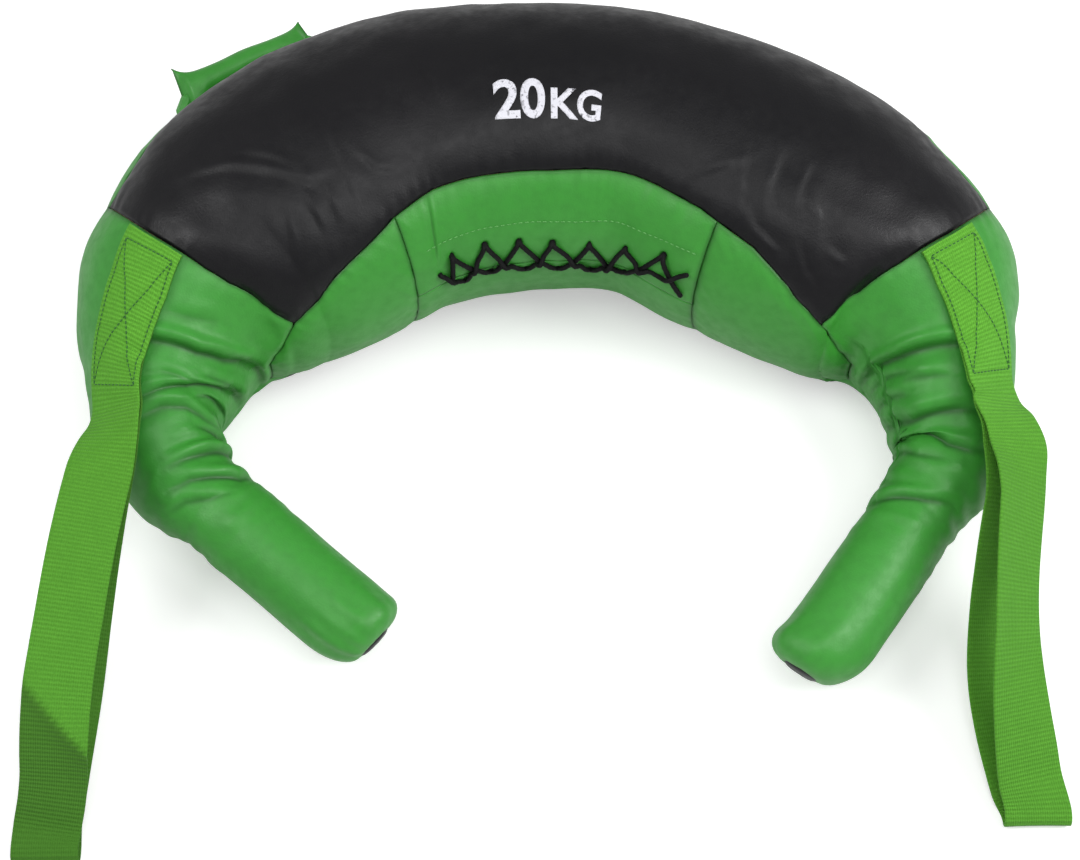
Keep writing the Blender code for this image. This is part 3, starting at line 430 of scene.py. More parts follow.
# How a seam draws the leather in, and the small gathers beside it
SEAM_DIP = 0.0016
SEAM_DIP_WIDTH = 0.0055
GATHER_PITCH = 0.011
GATHER_HEIGHT = 0.00028
GATHER_REACH = 0.010
# The seeds that the weight mark and the hem's stitches share with the leather they lie on
TOP_SEED = 11
LACED_SEED = 41


def stuffing(points, seed, swell=0.0010):
    """How the filling lifts the leather: broad swells and smaller ones."""
    broad = swell * 0.55 * waves(points, BROAD_WAVE, seed + 1)
    return broad + SMALL_SWELL * waves(points, SMALL_WAVE, seed + 2)


def tucked_fold(distance, width):
    """Leather folded over itself: a roll on the belly's side, a steep edge, then slack to the neck's side."""
    share = distance / width
    roll = 0.75 * np.exp(-((share + 1.35) / 0.85) ** 2)
    steep = np.exp(-np.abs(share / 0.45) ** 2)
    slack = np.exp(-np.abs(share / 1.7) ** 1.6)
    return roll - np.where(share < 0, steep, slack) + 0.22 * np.exp(-((share - 3.4) / 1.3) ** 2)


def distance_to_line(at, arc, line):
    """Distance to a drawn line, minus on the belly's side of it, and how far along it."""
    best = np.full(at.shape, 1e9)
    where = np.zeros(at.shape)
    beyond = np.zeros(at.shape)
    line = np.asarray(line, float)
    lengths = np.linalg.norm(np.diff(line, axis=0), axis=1)
    total = lengths.sum()
    done = 0.0
    for (a0, b0), (a1, b1), length in zip(line[:-1], line[1:], lengths):
        share = np.clip(((at - a0) * (a1 - a0) + (arc - b0) * (b1 - b0)) / length ** 2, 0.0, 1.0)
        away = np.hypot(at - a0 - share * (a1 - a0), arc - b0 - share * (b1 - b0))
        near = away < best
        best = np.where(near, away, best)
        beyond = np.where(near, np.abs(at) - np.abs(a0 + share * (a1 - a0)), beyond)
        where = np.where(near, (done + share * length) / total, where)
        done += length
    return np.copysign(best, beyond), where


# Pleats and creases: points of (place along the tube, angle), depth and width
left_pleats = [
    ([(-0.304, 118), (-0.3017, 86), (-0.3007, 54), (-0.2947, 31), (-0.2807, 2), (-0.2760, -22)],
     0.0042, 0.0042),
    ([(-0.331, 112), (-0.3297, 90), (-0.3257, 55), (-0.3150, 30), (-0.3027, 4), (-0.2970, -20)],
     0.0032, 0.0038),
    ([(-0.339, 112), (-0.3377, 85), (-0.3397, 60), (-0.3460, 38), (-0.3490, 15)], 0.0017, 0.0038),
    ([(-0.350, 60), (-0.3530, 30), (-0.3560, 0), (-0.356, -30)], 0.0026, 0.0042),
    ([(-0.363, 112), (-0.3657, 90), (-0.3700, 60), (-0.3747, 26), (-0.374, -20)], 0.0028, 0.0042),
    ([(-0.370, 128), (-0.3747, 100), (-0.3847, 72), (-0.3917, 50), (-0.393, 10)], 0.0024, 0.0040),
    ([(-0.374, 150), (-0.3787, 126), (-0.3887, 104), (-0.3967, 78)], 0.0014, 0.0040),
    ([(-0.318, 80), (-0.3200, 60), (-0.3180, 42)], 0.0010, 0.0040),
    ([(-0.3120, 46), (-0.3040, 20), (-0.2980, -10)], 0.0014, 0.0034),
    ([(-0.3340, 50), (-0.3270, 22), (-0.3220, -8)], 0.0014, 0.0034),
    ([(-0.2860, 84), (-0.2850, 66), (-0.2800, 48)], 0.0008, 0.0045)]
right_pleats = [
    ([(0.3120, 112), (0.3103, 88), (0.3093, 66), (0.3070, 40), (0.3000, 10), (0.2920, -18)], 0.0042, 0.0042),
    ([(0.3440, 122), (0.3433, 104), (0.3423, 77), (0.3403, 41), (0.3340, 8), (0.3260, -20)], 0.0030, 0.0042),
    ([(0.3550, 130), (0.3600, 108), (0.3630, 84), (0.3573, 50), (0.3473, 18), (0.3410, -10)], 0.0028, 0.0040),
    ([(0.3700, 96), (0.3740, 60), (0.3730, 24), (0.370, -20)], 0.0016, 0.0040),
    ([(0.3863, 131), (0.3953, 96), (0.4003, 70), (0.4073, 37), (0.409, 10)], 0.0022, 0.0042),
    ([(0.3260, 84), (0.3240, 62), (0.3200, 40)], 0.0012, 0.0040),
    ([(0.3190, 52), (0.3110, 20), (0.3040, -12)], 0.0015, 0.0034),
    ([(0.3300, 46), (0.3230, 18), (0.3160, -14)], 0.0015, 0.0034),
    ([(0.3680, 44), (0.3620, 14), (0.3570, -20)], 0.0016, 0.0036)]
laced_folds = [
    ([(-0.0860, 44), (-0.0877, 37), (-0.0897, 29), (-0.0930, 16)], 0.0009, 0.0022)]
black_creases = [
    ([(-0.2200, 102), (-0.1987, 90), (-0.1800, 78), (-0.1627, 67), (-0.148, 66)], 0.0010, 0.0040),
    ([(-0.1950, 96), (-0.1760, 84), (-0.1620, 72)], 0.0006, 0.0030),
    ([(-0.1707, 67), (-0.1717, 50)], 0.0006, 0.0030),
    ([(-0.1560, 66), (-0.1590, 50)], 0.0005, 0.0028),
    ([(-0.1290, 70), (-0.1200, 60), (-0.1040, 56)], 0.0006, 0.0030),
    ([(0.1550, 56), (0.1653, 50), (0.1843, 46)], 0.0008, 0.0032),
    ([(0.2093, 57), (0.2233, 55)], 0.0006, 0.0030),
    ([(0.1203, 53), (0.1340, 62), (0.1483, 71)], 0.0005, 0.0035),
    ([(0.1850, 72), (0.1980, 66), (0.2050, 57)], 0.0005, 0.0030),
    ([(0.1420, 74), (0.1500, 62), (0.1540, 52)], 0.0005, 0.0026),
    ([(0.1610, 80), (0.1640, 66), (0.1700, 55)], 0.0006, 0.0028),
    ([(0.1780, 82), (0.1800, 70), (0.1860, 60)], 0.0005, 0.0026),
    ([(0.1930, 52), (0.2060, 44), (0.2180, 38)], 0.0005, 0.0026),
    ([(-0.1380, 78), (-0.1420, 64), (-0.1450, 54)], 0.0005, 0.0028),
    ([(-0.1880, 64), (-0.1960, 54), (-0.2080, 46)], 0.0005, 0.0028),
    ([(-0.0700, 96), (-0.0620, 84), (-0.0600, 74)], 0.0005, 0.0035)]


def pleat_relief(at, angle, pleats):
    """Lift of a list of pleats at places on the skin, and how strongly their creases are painted in shade."""
    lift = np.zeros(at.shape)
    crease_shade = np.zeros(at.shape)
    for line, depth, width in pleats:
        line = np.asarray(line, float)
        middle = line.mean(axis=0)
        _, half_width, half_height, _, _, _ = tube(np.array([middle[0]]))
        radius = float(half_width[0] + half_height[0]) / 2
        turn = signed(angle - middle[1])
        drawn = np.stack([line[:, 0], np.radians(line[:, 1] - middle[1]) * radius], axis=1)
        away, share = distance_to_line(at, np.radians(turn) * radius, drawn)
        fade = np.clip(np.sin(math.pi * np.clip(share, 0.02, 0.98)), 0.0, 1.0) ** 0.6
        lift += depth * fade * tucked_fold(away, width)
        # Painted shade along the pleat's crease
        dark = fade * np.exp(-((away - 0.1 * width) / (0.42 * width)) ** 2) * min(1.0, depth / 0.0022)
        crease_shade = np.maximum(crease_shade, dark)
    return lift, crease_shade


# Leather pieces

def corners_of(piece):
    """The places of a mesh's corners, one row each."""
    places = np.empty(len(piece.data.vertices) * 3)
    piece.data.vertices.foreach_get("co", places)
    return places.reshape(-1, 3)


def cut_piece(name, along_count, across_count):
    """A flat cut piece of leather or webbing, marked out as a fine grid."""
    bpy.ops.object.select_all(action="DESELECT")
    bpy.ops.mesh.primitive_grid_add(x_subdivisions=along_count, y_subdivisions=across_count, size=1.0)
    piece = bpy.context.active_object
    piece.name = piece.data.name = name
    flat = corners_of(piece) + 0.5
    return piece, flat[:, 0], flat[:, 1]


def lay_out(piece, along, across):
    """The piece's own map: metres along it and across it."""
    loops = np.empty(len(piece.data.loops), int)
    piece.data.loops.foreach_get("vertex_index", loops)
    places = np.stack([np.asarray(along)[loops], np.asarray(across)[loops]], axis=1)
    piece.data.uv_layers[0].data.foreach_set("uv", places.ravel())


def bend_to(piece, points):
    """Moves a piece's corners to their places on the object."""
    piece.data.vertices.foreach_set("co", np.asarray(points).ravel())
    piece.data.update()


def note(piece, name, values):
    """Marks each corner with a value that a finish reads."""
    marks = piece.data.attributes.new(name, "FLOAT", "POINT")
    marks.data.foreach_set("value", np.asarray(values, np.float32))


def only(piece):
    """Selects one piece and nothing else."""
    bpy.ops.object.select_all(action="DESELECT")
    piece.select_set(True)
    bpy.context.view_layer.objects.active = piece


def give_thickness(piece, thickness, rounding=0.0, offset=-1.0):
    """Makes a sheet solid, inward unless the offset says otherwise, with its edges rounded or not."""
    only(piece)
    wall = piece.modifiers.new("wall", "SOLIDIFY")
    wall.thickness = thickness
    wall.offset = offset
    bpy.ops.object.modifier_apply(modifier=wall.name)
    if rounding:
        edge = piece.modifiers.new("edge", "BEVEL")
        edge.width = rounding
        edge.segments = 2
        edge.limit_method = "ANGLE"
        edge.angle_limit = math.radians(50)
        bpy.ops.object.modifier_apply(modifier=edge.name)
    bpy.ops.object.shade_smooth()


def in_edit_mode(piece, operator, **settings):
    """One operator of edit mode on the whole of a piece."""
    only(piece)
    bpy.ops.object.mode_set(mode="EDIT")
    bpy.ops.mesh.select_all(action="SELECT")
    operator(**settings)
    bpy.ops.object.mode_set(mode="OBJECT")


def close_tube(piece):
    """Joins the two long edges of a piece that goes all round."""
    in_edit_mode(piece, bpy.ops.mesh.remove_doubles, threshold=0.00002)


def turn_outward(piece):
    """Turns a closed piece's faces to look out."""
    in_edit_mode(piece, bpy.ops.mesh.normals_make_consistent, inside=False)


def sew_up(piece, points, along, across, crease_shade, thickness=LEATHER, closed=False):
    """Bends a cut piece of leather to its points, with its map and the painted shade of its creases and seams,
    and gives it its thickness.
    """
    bend_to(piece, points)
    lay_out(piece, along, across)
    note(piece, "crease_shade", crease_shade)
    if closed:
        close_tube(piece)
    give_thickness(piece, thickness)
    return piece


def edge_dip(distance):
    """Stuffed leather is drawn in along a seam."""
    return -SEAM_DIP * np.exp(-(distance / SEAM_DIP_WIDTH) ** 1.5)


def pucker(distance, along, seed):
    """Small gathers that the seam's stitches draw in the leather beside it."""
    ripple = waves(np.stack([along, along * 0.3], axis=1), GATHER_PITCH, seed, 8)
    return GATHER_HEIGHT * ripple * np.exp(-(distance / GATHER_REACH) ** 2)


def seam_shadow(distance, strength=0.8, width=0.0016):
    """The dark line that a seam or a sewn edge leaves in the leather."""
    return strength * np.exp(-(distance / width) ** 2)


def panel_points(at, angle, distance, seed, along, extra=0.0, swell=0.0010):
    """Points of a stuffed panel: drawn in and gathered at its seams, swollen between them."""
    swollen = ease(0.0, 0.02, distance) * stuffing(skin(at, angle), seed, swell)
    return skin(at, angle, edge_dip(distance) + pucker(distance, along, seed) + extra + swollen)


def skin_panel(name, seed, angle_low, angle_high, step, ends=None, pleats=(), bottom=False, slit=None):
    """A leather panel between two angles, bent over the filling, up to its ends or the shoulder seams."""
    long_count = int(0.56 / step) if ends is None else int((ends[1] - ends[0]) / step * 1.1)
    wide_count = max(6, int(arc_for(angle_high - angle_low) / step))
    piece, x, y = cut_piece(name, long_count, wide_count)
    seam_turn = turn_for(SEAM)
    angle = angle_low + seam_turn + y * (angle_high - angle_low - 2 * seam_turn)
    low = -seam_end(-1, angle) if ends is None else ends[0]
    high = seam_end(1, angle) if ends is None else ends[1]
    at = low + SEAM + x * (high - low - 2 * SEAM)
    real_angle = seam_angle(at, angle)
    to_seam = {None: np.minimum(y, 1 - y), "low": 1 - y, "high": y}[slit]
    across = to_seam * arc_for(angle_high - angle_low)
    lengthwise = np.minimum(at - low, high - at)
    distance = np.minimum(across, lengthwise)
    lift, crease_shade = pleat_relief(at, real_angle, pleats)
    if slit:
        dimples, dark = lace_dimples(at, real_angle)
        lift = lift + dimples
        crease_shade = np.maximum(crease_shade, dark)
    run = np.where(across < lengthwise, at, arc_for(real_angle))
    points = panel_points(at, real_angle, distance, seed, run, lift)
    if bottom:
        points[:, 2] = np.maximum(points[:, 2], BOTTOM_GAP)
    return sew_up(piece, points, at, arc_for(real_angle), np.maximum(crease_shade, seam_shadow(distance)))


def body_leathers():
    """The black panels, the outer band and the two halves of the laced panel, each with its node."""
    slit = turn_for(SEAM)
    ends = (-LEFT_GUSSET_SEAM, RIGHT_GUSSET_SEAM)
    evenly = TOP_EDGE / left_edge_angles[0][1]
    upper, lower = evenly * (SLIT_ANGLE + slit), evenly * (SLIT_ANGLE - slit)
    return [
        (skin_panel("black_top", TOP_SEED, TOP_EDGE, RIM_EDGE, TOP_GRID, pleats=black_creases),
         "top_panel"),
        (skin_panel("black_bottom", 21, 360.0 - RIM_EDGE, 360.0 - TOP_EDGE, BOTTOM_GRID, bottom=True),
         "bottom_panel"),
        (skin_panel("outer_band", 31, RIM_EDGE, 360.0 - RIM_EDGE, BAND_GRID), "outer_panel"),
        (skin_panel("laced_panel_upper", LACED_SEED, upper, TOP_EDGE, LACED_GRID, ends, laced_folds,
                    slit="low"), "inner_panel_upper"),
        (skin_panel("laced_panel_lower", LACED_SEED, -TOP_EDGE, lower, LACED_GRID, ends, slit="high"),
         "inner_panel_lower")]


def lace_dimples(at, angle):
    """How the lacing holes draw the leather in, and the painted shade in them."""
    lift = np.zeros(at.shape)
    dark = np.zeros(at.shape)
    for place, turn in upper_holes + lower_holes:
        away = np.hypot(at - place, arc_for(angle - turn))
        lift -= HOLE_DEPTH * np.exp(-(away / HOLE_RADIUS) ** 4)
        lift -= 0.0004 * np.exp(-(away / 0.006) ** 2)
        # Painted shade in each hole
        dark = np.maximum(dark, np.exp(-(away / 0.0026) ** 4))
    return lift, dark


def gusset(side, word, seed):
    """The leather between the laced panel and the shoulder, on the hollow's side."""
    start = (RIGHT_GUSSET_SEAM if side > 0 else LEFT_GUSSET_SEAM) + SEAM
    piece, x, y = cut_piece("gusset_" + word, int(0.14 / GUSSET_GRID),
                           int(arc_for(2 * TOP_EDGE) / GUSSET_GRID))
    seam_turn = turn_for(SEAM)
    angle = -TOP_EDGE + seam_turn + y * (2 * TOP_EDGE - 2 * seam_turn)
    end = seam_end(side, angle) - SEAM
    share = x if side > 0 else 1 - x
    place = start + share * (end - start)
    at = side * place
    real_angle = seam_angle(at, angle)
    across = np.minimum(y, 1 - y) * arc_for(2 * TOP_EDGE) * np.interp(place, [0.12, 0.23], [1.05, 0.45])
    distance = np.minimum(across, np.minimum(place - start, end - place) * 0.8)
    lift, crease_shade = pleat_relief(at, real_angle, right_pleats if side > 0 else left_pleats)
    points = panel_points(at, real_angle, distance, seed, at + arc_for(real_angle), lift, 0.0016)
    return sew_up(piece, points, at, arc_for(real_angle), np.maximum(crease_shade, seam_shadow(distance)))


def all_round(share):
    """Angles all round the tube, from the belly's middle."""
    return -90.0 + 360.0 * share


def rounded(share):
    """A quarter circle's height: 0 at its end, 1 from its full width on."""
    share = np.clip(share, 0.0, 1.0)
    return np.sqrt(share * (2 - share))


def end_rounding(past, depth, drop):
    """A rounded end: how far on and how far in, by the path run since the straight part."""
    quarter = math.pi / 2 * np.sqrt((depth ** 2 + drop ** 2) / 2)
    turn = np.clip(past / quarter, 0.0, 1.0) * math.pi / 2
    flat = np.maximum(past - quarter, 0.0)
    return depth * np.sin(turn), drop * (1 - np.cos(turn)) + flat, quarter


def end_depth(side, real_angle):
    """How far back the rounding starts: blunt towards the hollow, long and slack on the outer side."""
    mean, swing = GRIP_END_DEPTHS[side]
    return mean - swing * np.cos(np.radians(real_angle - 20.0))


def end_shift(side, past, depth):
    """The grip's end is drawn together a little towards the hollow, not in the middle."""
    direction = grip_direction(side)
    hollow_way = unit(np.cross(direction, [0.0, 0.0, 1.0])) * side
    return GRIP_END_INWARD[side] * ease(-0.4, 1.0, past / depth)[:, None] * hollow_way


def slanted(place, real_angle, radius):
    """The grip's end is cut at a slant: longer on top than below."""
    rise = radius * np.sin(np.radians(real_angle))
    return place + GRIP_END_SLOPE * rise * ease(NECK_AT + 0.06, TIP_AT - 0.01, place)


def shoulder_leather(side, word, seed):
    """One leather from the shoulder seam over the neck and the grip, drawn in round the grip's end."""
    piece, x, y = cut_piece("shoulder_leather_" + word, *SHOULDER_GRID)
    share = np.interp(x if side > 0 else 1 - x, [0.0, 0.15, 0.80, 1.0], [0.0, 0.12, 0.58, 1.0])
    real_angle = all_round(y)
    depth = end_depth(side, real_angle)
    straight_end = TIP_AT + GRIP_END_ON[side] - depth
    start = shoulder_seam(side, real_angle) + SEAM
    straight = straight_end - start
    quarter = end_rounding(0.0, depth, GRIP_END_DROP)[2]
    distance = share * (straight + quarter + 0.0015)
    on, drawn_in, _ = end_rounding(np.maximum(distance - straight, 0.0), depth, GRIP_END_DROP)
    place = start + np.minimum(distance, straight) + on
    place = slanted(place, real_angle, GRIP_RADIUS - drawn_in)
    at = side * place
    lift, crease_shade = pleat_relief(at, real_angle, right_pleats if side > 0 else left_pleats)
    base = skin(at, real_angle)
    lift = lift + edge_dip(distance)
    lift = lift + pucker(distance, arc_for(real_angle), seed)
    inside = ease(0.0, 0.02, distance)
    quiet = 1 - ease(-0.02, 0.0, place - straight_end)
    wrinkled = ease(*WRINKLES[:2], place) * (1 - ease(*WRINKLES[2:], place))
    slack = inside * quiet * (1 - 0.65 * ease(0.415, 0.45, place))
    lift = lift + slack * 0.0007 * waves(base, 0.060, seed + 1)
    lift = lift + slack * 0.0003 * waves(base, 0.022, seed + 2)
    gathered = np.stack([place, arc_for(real_angle, 0.012)], axis=1)
    lift = lift + wrinkled * quiet * 0.00060 * waves(gathered, 0.012, seed + 3)
    turn = np.radians(real_angle)
    round_end = 0.02 * np.stack([np.cos(turn), np.sin(turn)], axis=1)
    lift = lift + (1 - quiet) * 0.0005 * waves(round_end, 0.010, seed + 4)
    points = skin(at, real_angle, lift - drawn_in) + end_shift(side, place - straight_end, depth)
    return sew_up(piece, points, at, arc_for(real_angle, 0.04), np.maximum(crease_shade, seam_shadow(distance)),
                  closed=True)


def grip_roll(side, word):
    """The firm rolled core inside the grip, rounded off at both ends."""
    first, last = NECK_AT + 0.002, TIP_AT + GRIP_END_ON[side] - 0.0035
    piece, x, y = cut_piece("grip_roll_" + word, 90, 48)
    share = x if side > 0 else 1 - x
    real_angle = all_round(y)
    place = first + share * (last - first)
    depth = end_depth(side, real_angle)
    past = place - TIP_AT - GRIP_END_ON[side] + depth
    bend = np.clip(past / depth, 0.0, 1.0)
    radius = GRIP_RADIUS - LEATHER - 0.0008 - GRIP_END_DROP * (1 - np.sqrt(1 - bend ** 2))
    radius = radius * rounded((place - first) / 0.012) * rounded((last - place) / 0.004)
    place = slanted(place, real_angle, radius)
    points = round_skin(side * place, real_angle)
    middle = (points + round_skin(side * place, real_angle + 180.0)) / 2
    points = middle + unit(points - middle) * np.maximum(radius, 0.00005)[:, None]
    points = points + end_shift(side, past, depth)
    bend_to(piece, points)
    lay_out(piece, side * place, arc_for(real_angle, 0.024))
    close_tube(piece)
    turn_outward(piece)
    bpy.ops.object.shade_smooth()
    return piece


def end_cap(side, word):
    """The black leather disc that shows in the middle of the grip's drawn-in end."""
    direction = grip_direction(side)
    inward = unit(np.cross(direction, [0.0, 0.0, 1.0]))
    over = unit(np.cross(inward, direction))
    bpy.ops.object.select_all(action="DESELECT")
    bpy.ops.mesh.primitive_circle_add(vertices=64, radius=1.0, fill_type="TRIFAN")
    cap = bpy.context.active_object
    cap.name = cap.data.name = "grip_end_cap_" + word
    in_edit_mode(cap, bpy.ops.mesh.subdivide, number_cuts=7)
    flat = corners_of(cap)
    reach = np.hypot(flat[:, 0], flat[:, 1])
    radius = GRIP_RADIUS - GRIP_END_DROP - 0.0002
    crown = CAP_CROWN * (1 - reach ** 6) + GRIP_END_SLOPE * radius * flat[:, 1]
    crown += 0.0002 * waves(flat * radius, 0.010, 71 + side) * (1 - reach ** 3)
    middle = neck_point(side) + direction * (GRIP_LENGTH + GRIP_END_ON[side] - 0.0010)
    middle = middle + end_shift(side, np.ones(1), 1.0)[0]
    points = (middle + inward * (flat[:, 0] * radius)[:, None] + over * (flat[:, 1] * radius)[:, None]
              + direction * crown[:, None])
    bend_to(cap, points)
    turn_outward(cap)
    facing = np.mean([polygon.normal[:] for polygon in cap.data.polygons], axis=0)
    if float(np.dot(facing, direction)) < 0:
        cap.data.flip_normals()
    give_thickness(cap, CAP)
    return cap


# Webbing loops

def sewn_row(side, at, lift):
    """Points across the sewn webbing: round on the shoulder, flat and square at its end."""
    place = abs(at)
    line = np.array(strap_line)
    flat = float(ease(SEWN_FLAT_FROM, SEWN_END, place))
    start = 1 - float(ease(line[0, 0], line[0, 0] + STRAP_START, place))
    _, half_width, half_height, along, _, _ = tube(np.array([at]))
    radius = float(half_width[0] + half_height[0]) / 2
    angle, slope = [float(v) for v in (np.interp(place, line[:, 0], line[:, 1]),
                                       np.interp(place + 0.004, line[:, 0], line[:, 1])
                                       - np.interp(place - 0.004, line[:, 0], line[:, 1]))]
    lean = math.atan2(math.radians(slope) * radius, 0.008) * (1 - flat) + STRAP_LEAN * flat
    offsets = np.linspace(-0.5, 0.5, STRAP_THREADS) * WEBBING_WIDTH
    turns = angle + np.degrees(offsets * math.cos(lean) / radius)
    places = place - offsets * math.sin(lean)
    on_seam = shoulder_seam(side, turns) + STRAP_PAST_SEAM
    places = np.maximum(places * (1 - start) + (on_seam + place - line[0, 0]) * start, on_seam)
    round_points = skin(side * places, turns, WEBBING_SEAT + lift)
    middle = skin(at, angle, WEBBING_SEAT + lift)
    out = outward(np.array([at]), np.array([angle]))[0]
    level = unit([along[0][0], along[0][1], 0.0])
    across = -unit(np.cross(level, out)) * math.cos(STRAP_LEAN) - level * side * math.sin(STRAP_LEAN)
    flat_points = middle + (offsets - STRAP_INWARD)[:, None] * across
    return round_points * (1 - flat) + flat_points * flat


def sewn_top_row(side, at, lift):
    """The upper layer's row: its inner half is tucked up in a small fold."""
    place = abs(at)
    tuck = 0.0010 * math.exp(-((place - 0.3085) / 0.0030) ** 2)
    tuck -= 0.0012 * math.exp(-((place - 0.3030) / 0.0025) ** 2)
    inner_half = ease(0.1, -0.5, np.linspace(-1.0, 1.0, STRAP_THREADS))
    out = outward(np.array([at]), np.array([100.0]))[0]
    return sewn_row(side, at, 1.5 * WEBBING + LOOP_LAYER_GAP + lift) + tuck * inner_half[:, None] * out


def loop_hinge(side):
    """Where the free loop starts, and its ways across, up and ahead."""
    at = side * SEWN_END
    row = sewn_row(side, at, 0.0)
    across = unit(row[-1] - row[0])
    _, _, _, along, _, _ = tube(np.array([at]))
    ahead = unit([along[0][0], along[0][1], 0.0]) * side
    up = unit(np.cross(ahead, across)) * side
    return row[STRAP_THREADS // 2] + up * (STACK / 2 + LOOP_LIFT), across, up, ahead


def turned_about_y(vector, angle):
    """A direction turned about the line from front to rear."""
    cosine, sine = math.cos(angle), math.sin(angle)
    x, y, z = vector
    return np.array([cosine * x + sine * z, y, -sine * x + cosine * z])


def loop_rows(side, top_shares, under_shares, reach, spread, roll):
    """Edge pairs of the free webbing: out on top, round the fold and back underneath."""
    hinge, across, up, _ = loop_hinge(side)
    floor = LOOP_FLOOR_GAP + WEBBING / 2

    def route(shares):
        """The middle line of one run, and its twist."""
        table = np.array([(hinge[0] + side * spread * o, hinge[1] - reach * f, floor + (hinge[2] - floor) * h)
                          for f, o, h, _ in shares])
        knots = run_lengths(table)
        samples = np.linspace(0.0, knots[-1], 2 * len(shares) + 1)
        rolls = np.array([(r, 0.0) for _, _, _, r in shares])
        return smooth_curve(knots, table, samples), smooth_curve(knots, rolls, samples)[:, 0]

    top, top_twist = route(top_shares)
    under, under_twist = route(under_shares)
    low = np.array([hinge[0] + side * spread, hinge[1] - reach, floor])
    lift = np.array([0.0, 0.0, LOOP_FOLD_RADIUS])
    forward = np.array([0.0, -LOOP_FOLD_RADIUS, 0.0])
    fold = np.array([low + 2 * lift, low + 1.7 * lift + 0.7 * forward, low + lift + forward,
                     low + 0.3 * lift + 0.7 * forward, low])
    half = (WEBBING + LOOP_LAYER_GAP) / 2
    line = np.concatenate([[hinge + up * half], top, fold, under, [hinge - up * half]])
    twist = np.concatenate([[0.0], top_twist, np.zeros(len(fold)), under_twist, [0.0]])
    level = np.array([float(side), 0.0, 0.0])
    rows = []
    for index, point in enumerate(line):
        travel = unit(line[min(index + 1, len(line) - 1)] - line[max(index - 1, 0)])
        distance = np.linalg.norm(point - hinge) / reach
        mix = float(ease(*LOOP_LEVEL_SHARES, distance))
        width = unit(across * (1 - mix) + level * mix)
        width = turned_about_y(width, side * roll * twist[index])
        in_fold = 1 + len(top) <= index < 1 + len(top) + len(fold)
        if 0 < index < len(line) - 1 and not in_fold:
            width = unit(width - travel * width.dot(travel))
        rows.append((point, width * (WEBBING_WIDTH / 2)))
    return rows


def strap(side, word, top_shares, under_shares, reach, spread, roll, seed, kinks=()):
    """One length of webbing: sewn on the shoulder, out to the fold and back under itself."""
    free = loop_rows(side, top_shares, under_shares, reach, spread, roll)
    sewn_places = np.linspace(strap_line[0][0], SEWN_END - 0.007, 34)
    top_sewn = [sewn_top_row(side, side * place, 0.0) for place in sewn_places]
    under_sewn = [sewn_row(side, side * place, 0.5 * WEBBING) for place in sewn_places]
    offset = np.linspace(-1.0, 1.0, STRAP_THREADS)
    free_rows = [point + offset[:, None] * width for point, width in free]
    rows = np.array(top_sewn + free_rows + under_sewn[::-1])
    middle = STRAP_THREADS // 2
    knots = run_lengths(rows[:, middle])
    piece, x, y = cut_piece("strap_" + word, int(knots[-1] / WEBBING_GRID), STRAP_THREADS - 1)
    samples = np.unique(np.round(x * knots[-1], 9))
    dense = smooth_curve(knots, rows.reshape(len(rows), -1), samples).reshape(len(samples), STRAP_THREADS, 3)
    travel = unit(np.gradient(dense[:, middle], samples, axis=0))
    width = unit(dense[:, -1] - dense[:, 0])
    face = unit(np.cross(width, travel))
    free_share = ease(*STRAP_FREE, samples) * (1 - ease(*(knots[-1] - np.array(STRAP_FREE[::-1])), samples))
    cup = WEBBING_CUP * (1 - offset[None, :] ** 2) * free_share[:, None]
    soft = WEBBING_SOFT * waves(np.stack([samples, samples * 0.2], axis=1), 0.055, seed) * free_share
    kink = 0.0
    # Painted shade: past each diagonal fold the webbing is marked to be painted darker, where its steep part
    # would lie in shade
    wear_and_shade = np.zeros((len(samples), STRAP_THREADS))
    for middle_at, slope, height, width_of in kinks:
        beyond = samples[:, None] - middle_at - slope * offset[None, :]
        kink = kink + height * np.exp(-np.abs(beyond) / width_of)
        wear_and_shade = np.maximum(wear_and_shade, ease(-0.0016, 0.0030, beyond))
    dense = dense + face[:, None, :] * (cup + soft[:, None] * 0.3 + kink)[:, :, None]
    row_index = np.clip(np.round(x * (len(samples) - 1)).astype(int), 0, len(samples) - 1)
    column = np.round(y * (STRAP_THREADS - 1)).astype(int)
    points = dense[row_index, column]
    points[:, 2] = np.maximum(points[:, 2], LOOP_LOWEST)
    bend_to(piece, points)
    lay_out(piece, x * knots[-1], (y - 0.5) * WEBBING_WIDTH)
    note(piece, "wear_and_shade", wear_and_shade[row_index, column])
    give_thickness(piece, WEBBING, WEBBING_ROUNDING, 0.0)
    return piece


# Rear handles

def handle_frame(side):
    """Middle between a handle's feet, and its ways along and away from the rim."""
    feet = skin(side * HANDLE_AT + np.array([-HANDLE_HALF_FOOT, HANDLE_HALF_FOOT]), np.full(2, HANDLE_ANGLE),
                HANDLE_SEAT + SOLID_PATCH + HANDLE_SEAT + HANDLE_CORE_DIAMETER / 2)
    along = unit(feet[1] - feet[0])
    level = unit(np.cross([0.0, 0.0, 1.0], along))
    stand = level * math.cos(HANDLE_RISE[side]) + np.array([0.0, 0.0, math.sin(HANDLE_RISE[side])])
    return (feet[0] + feet[1]) / 2, along, stand


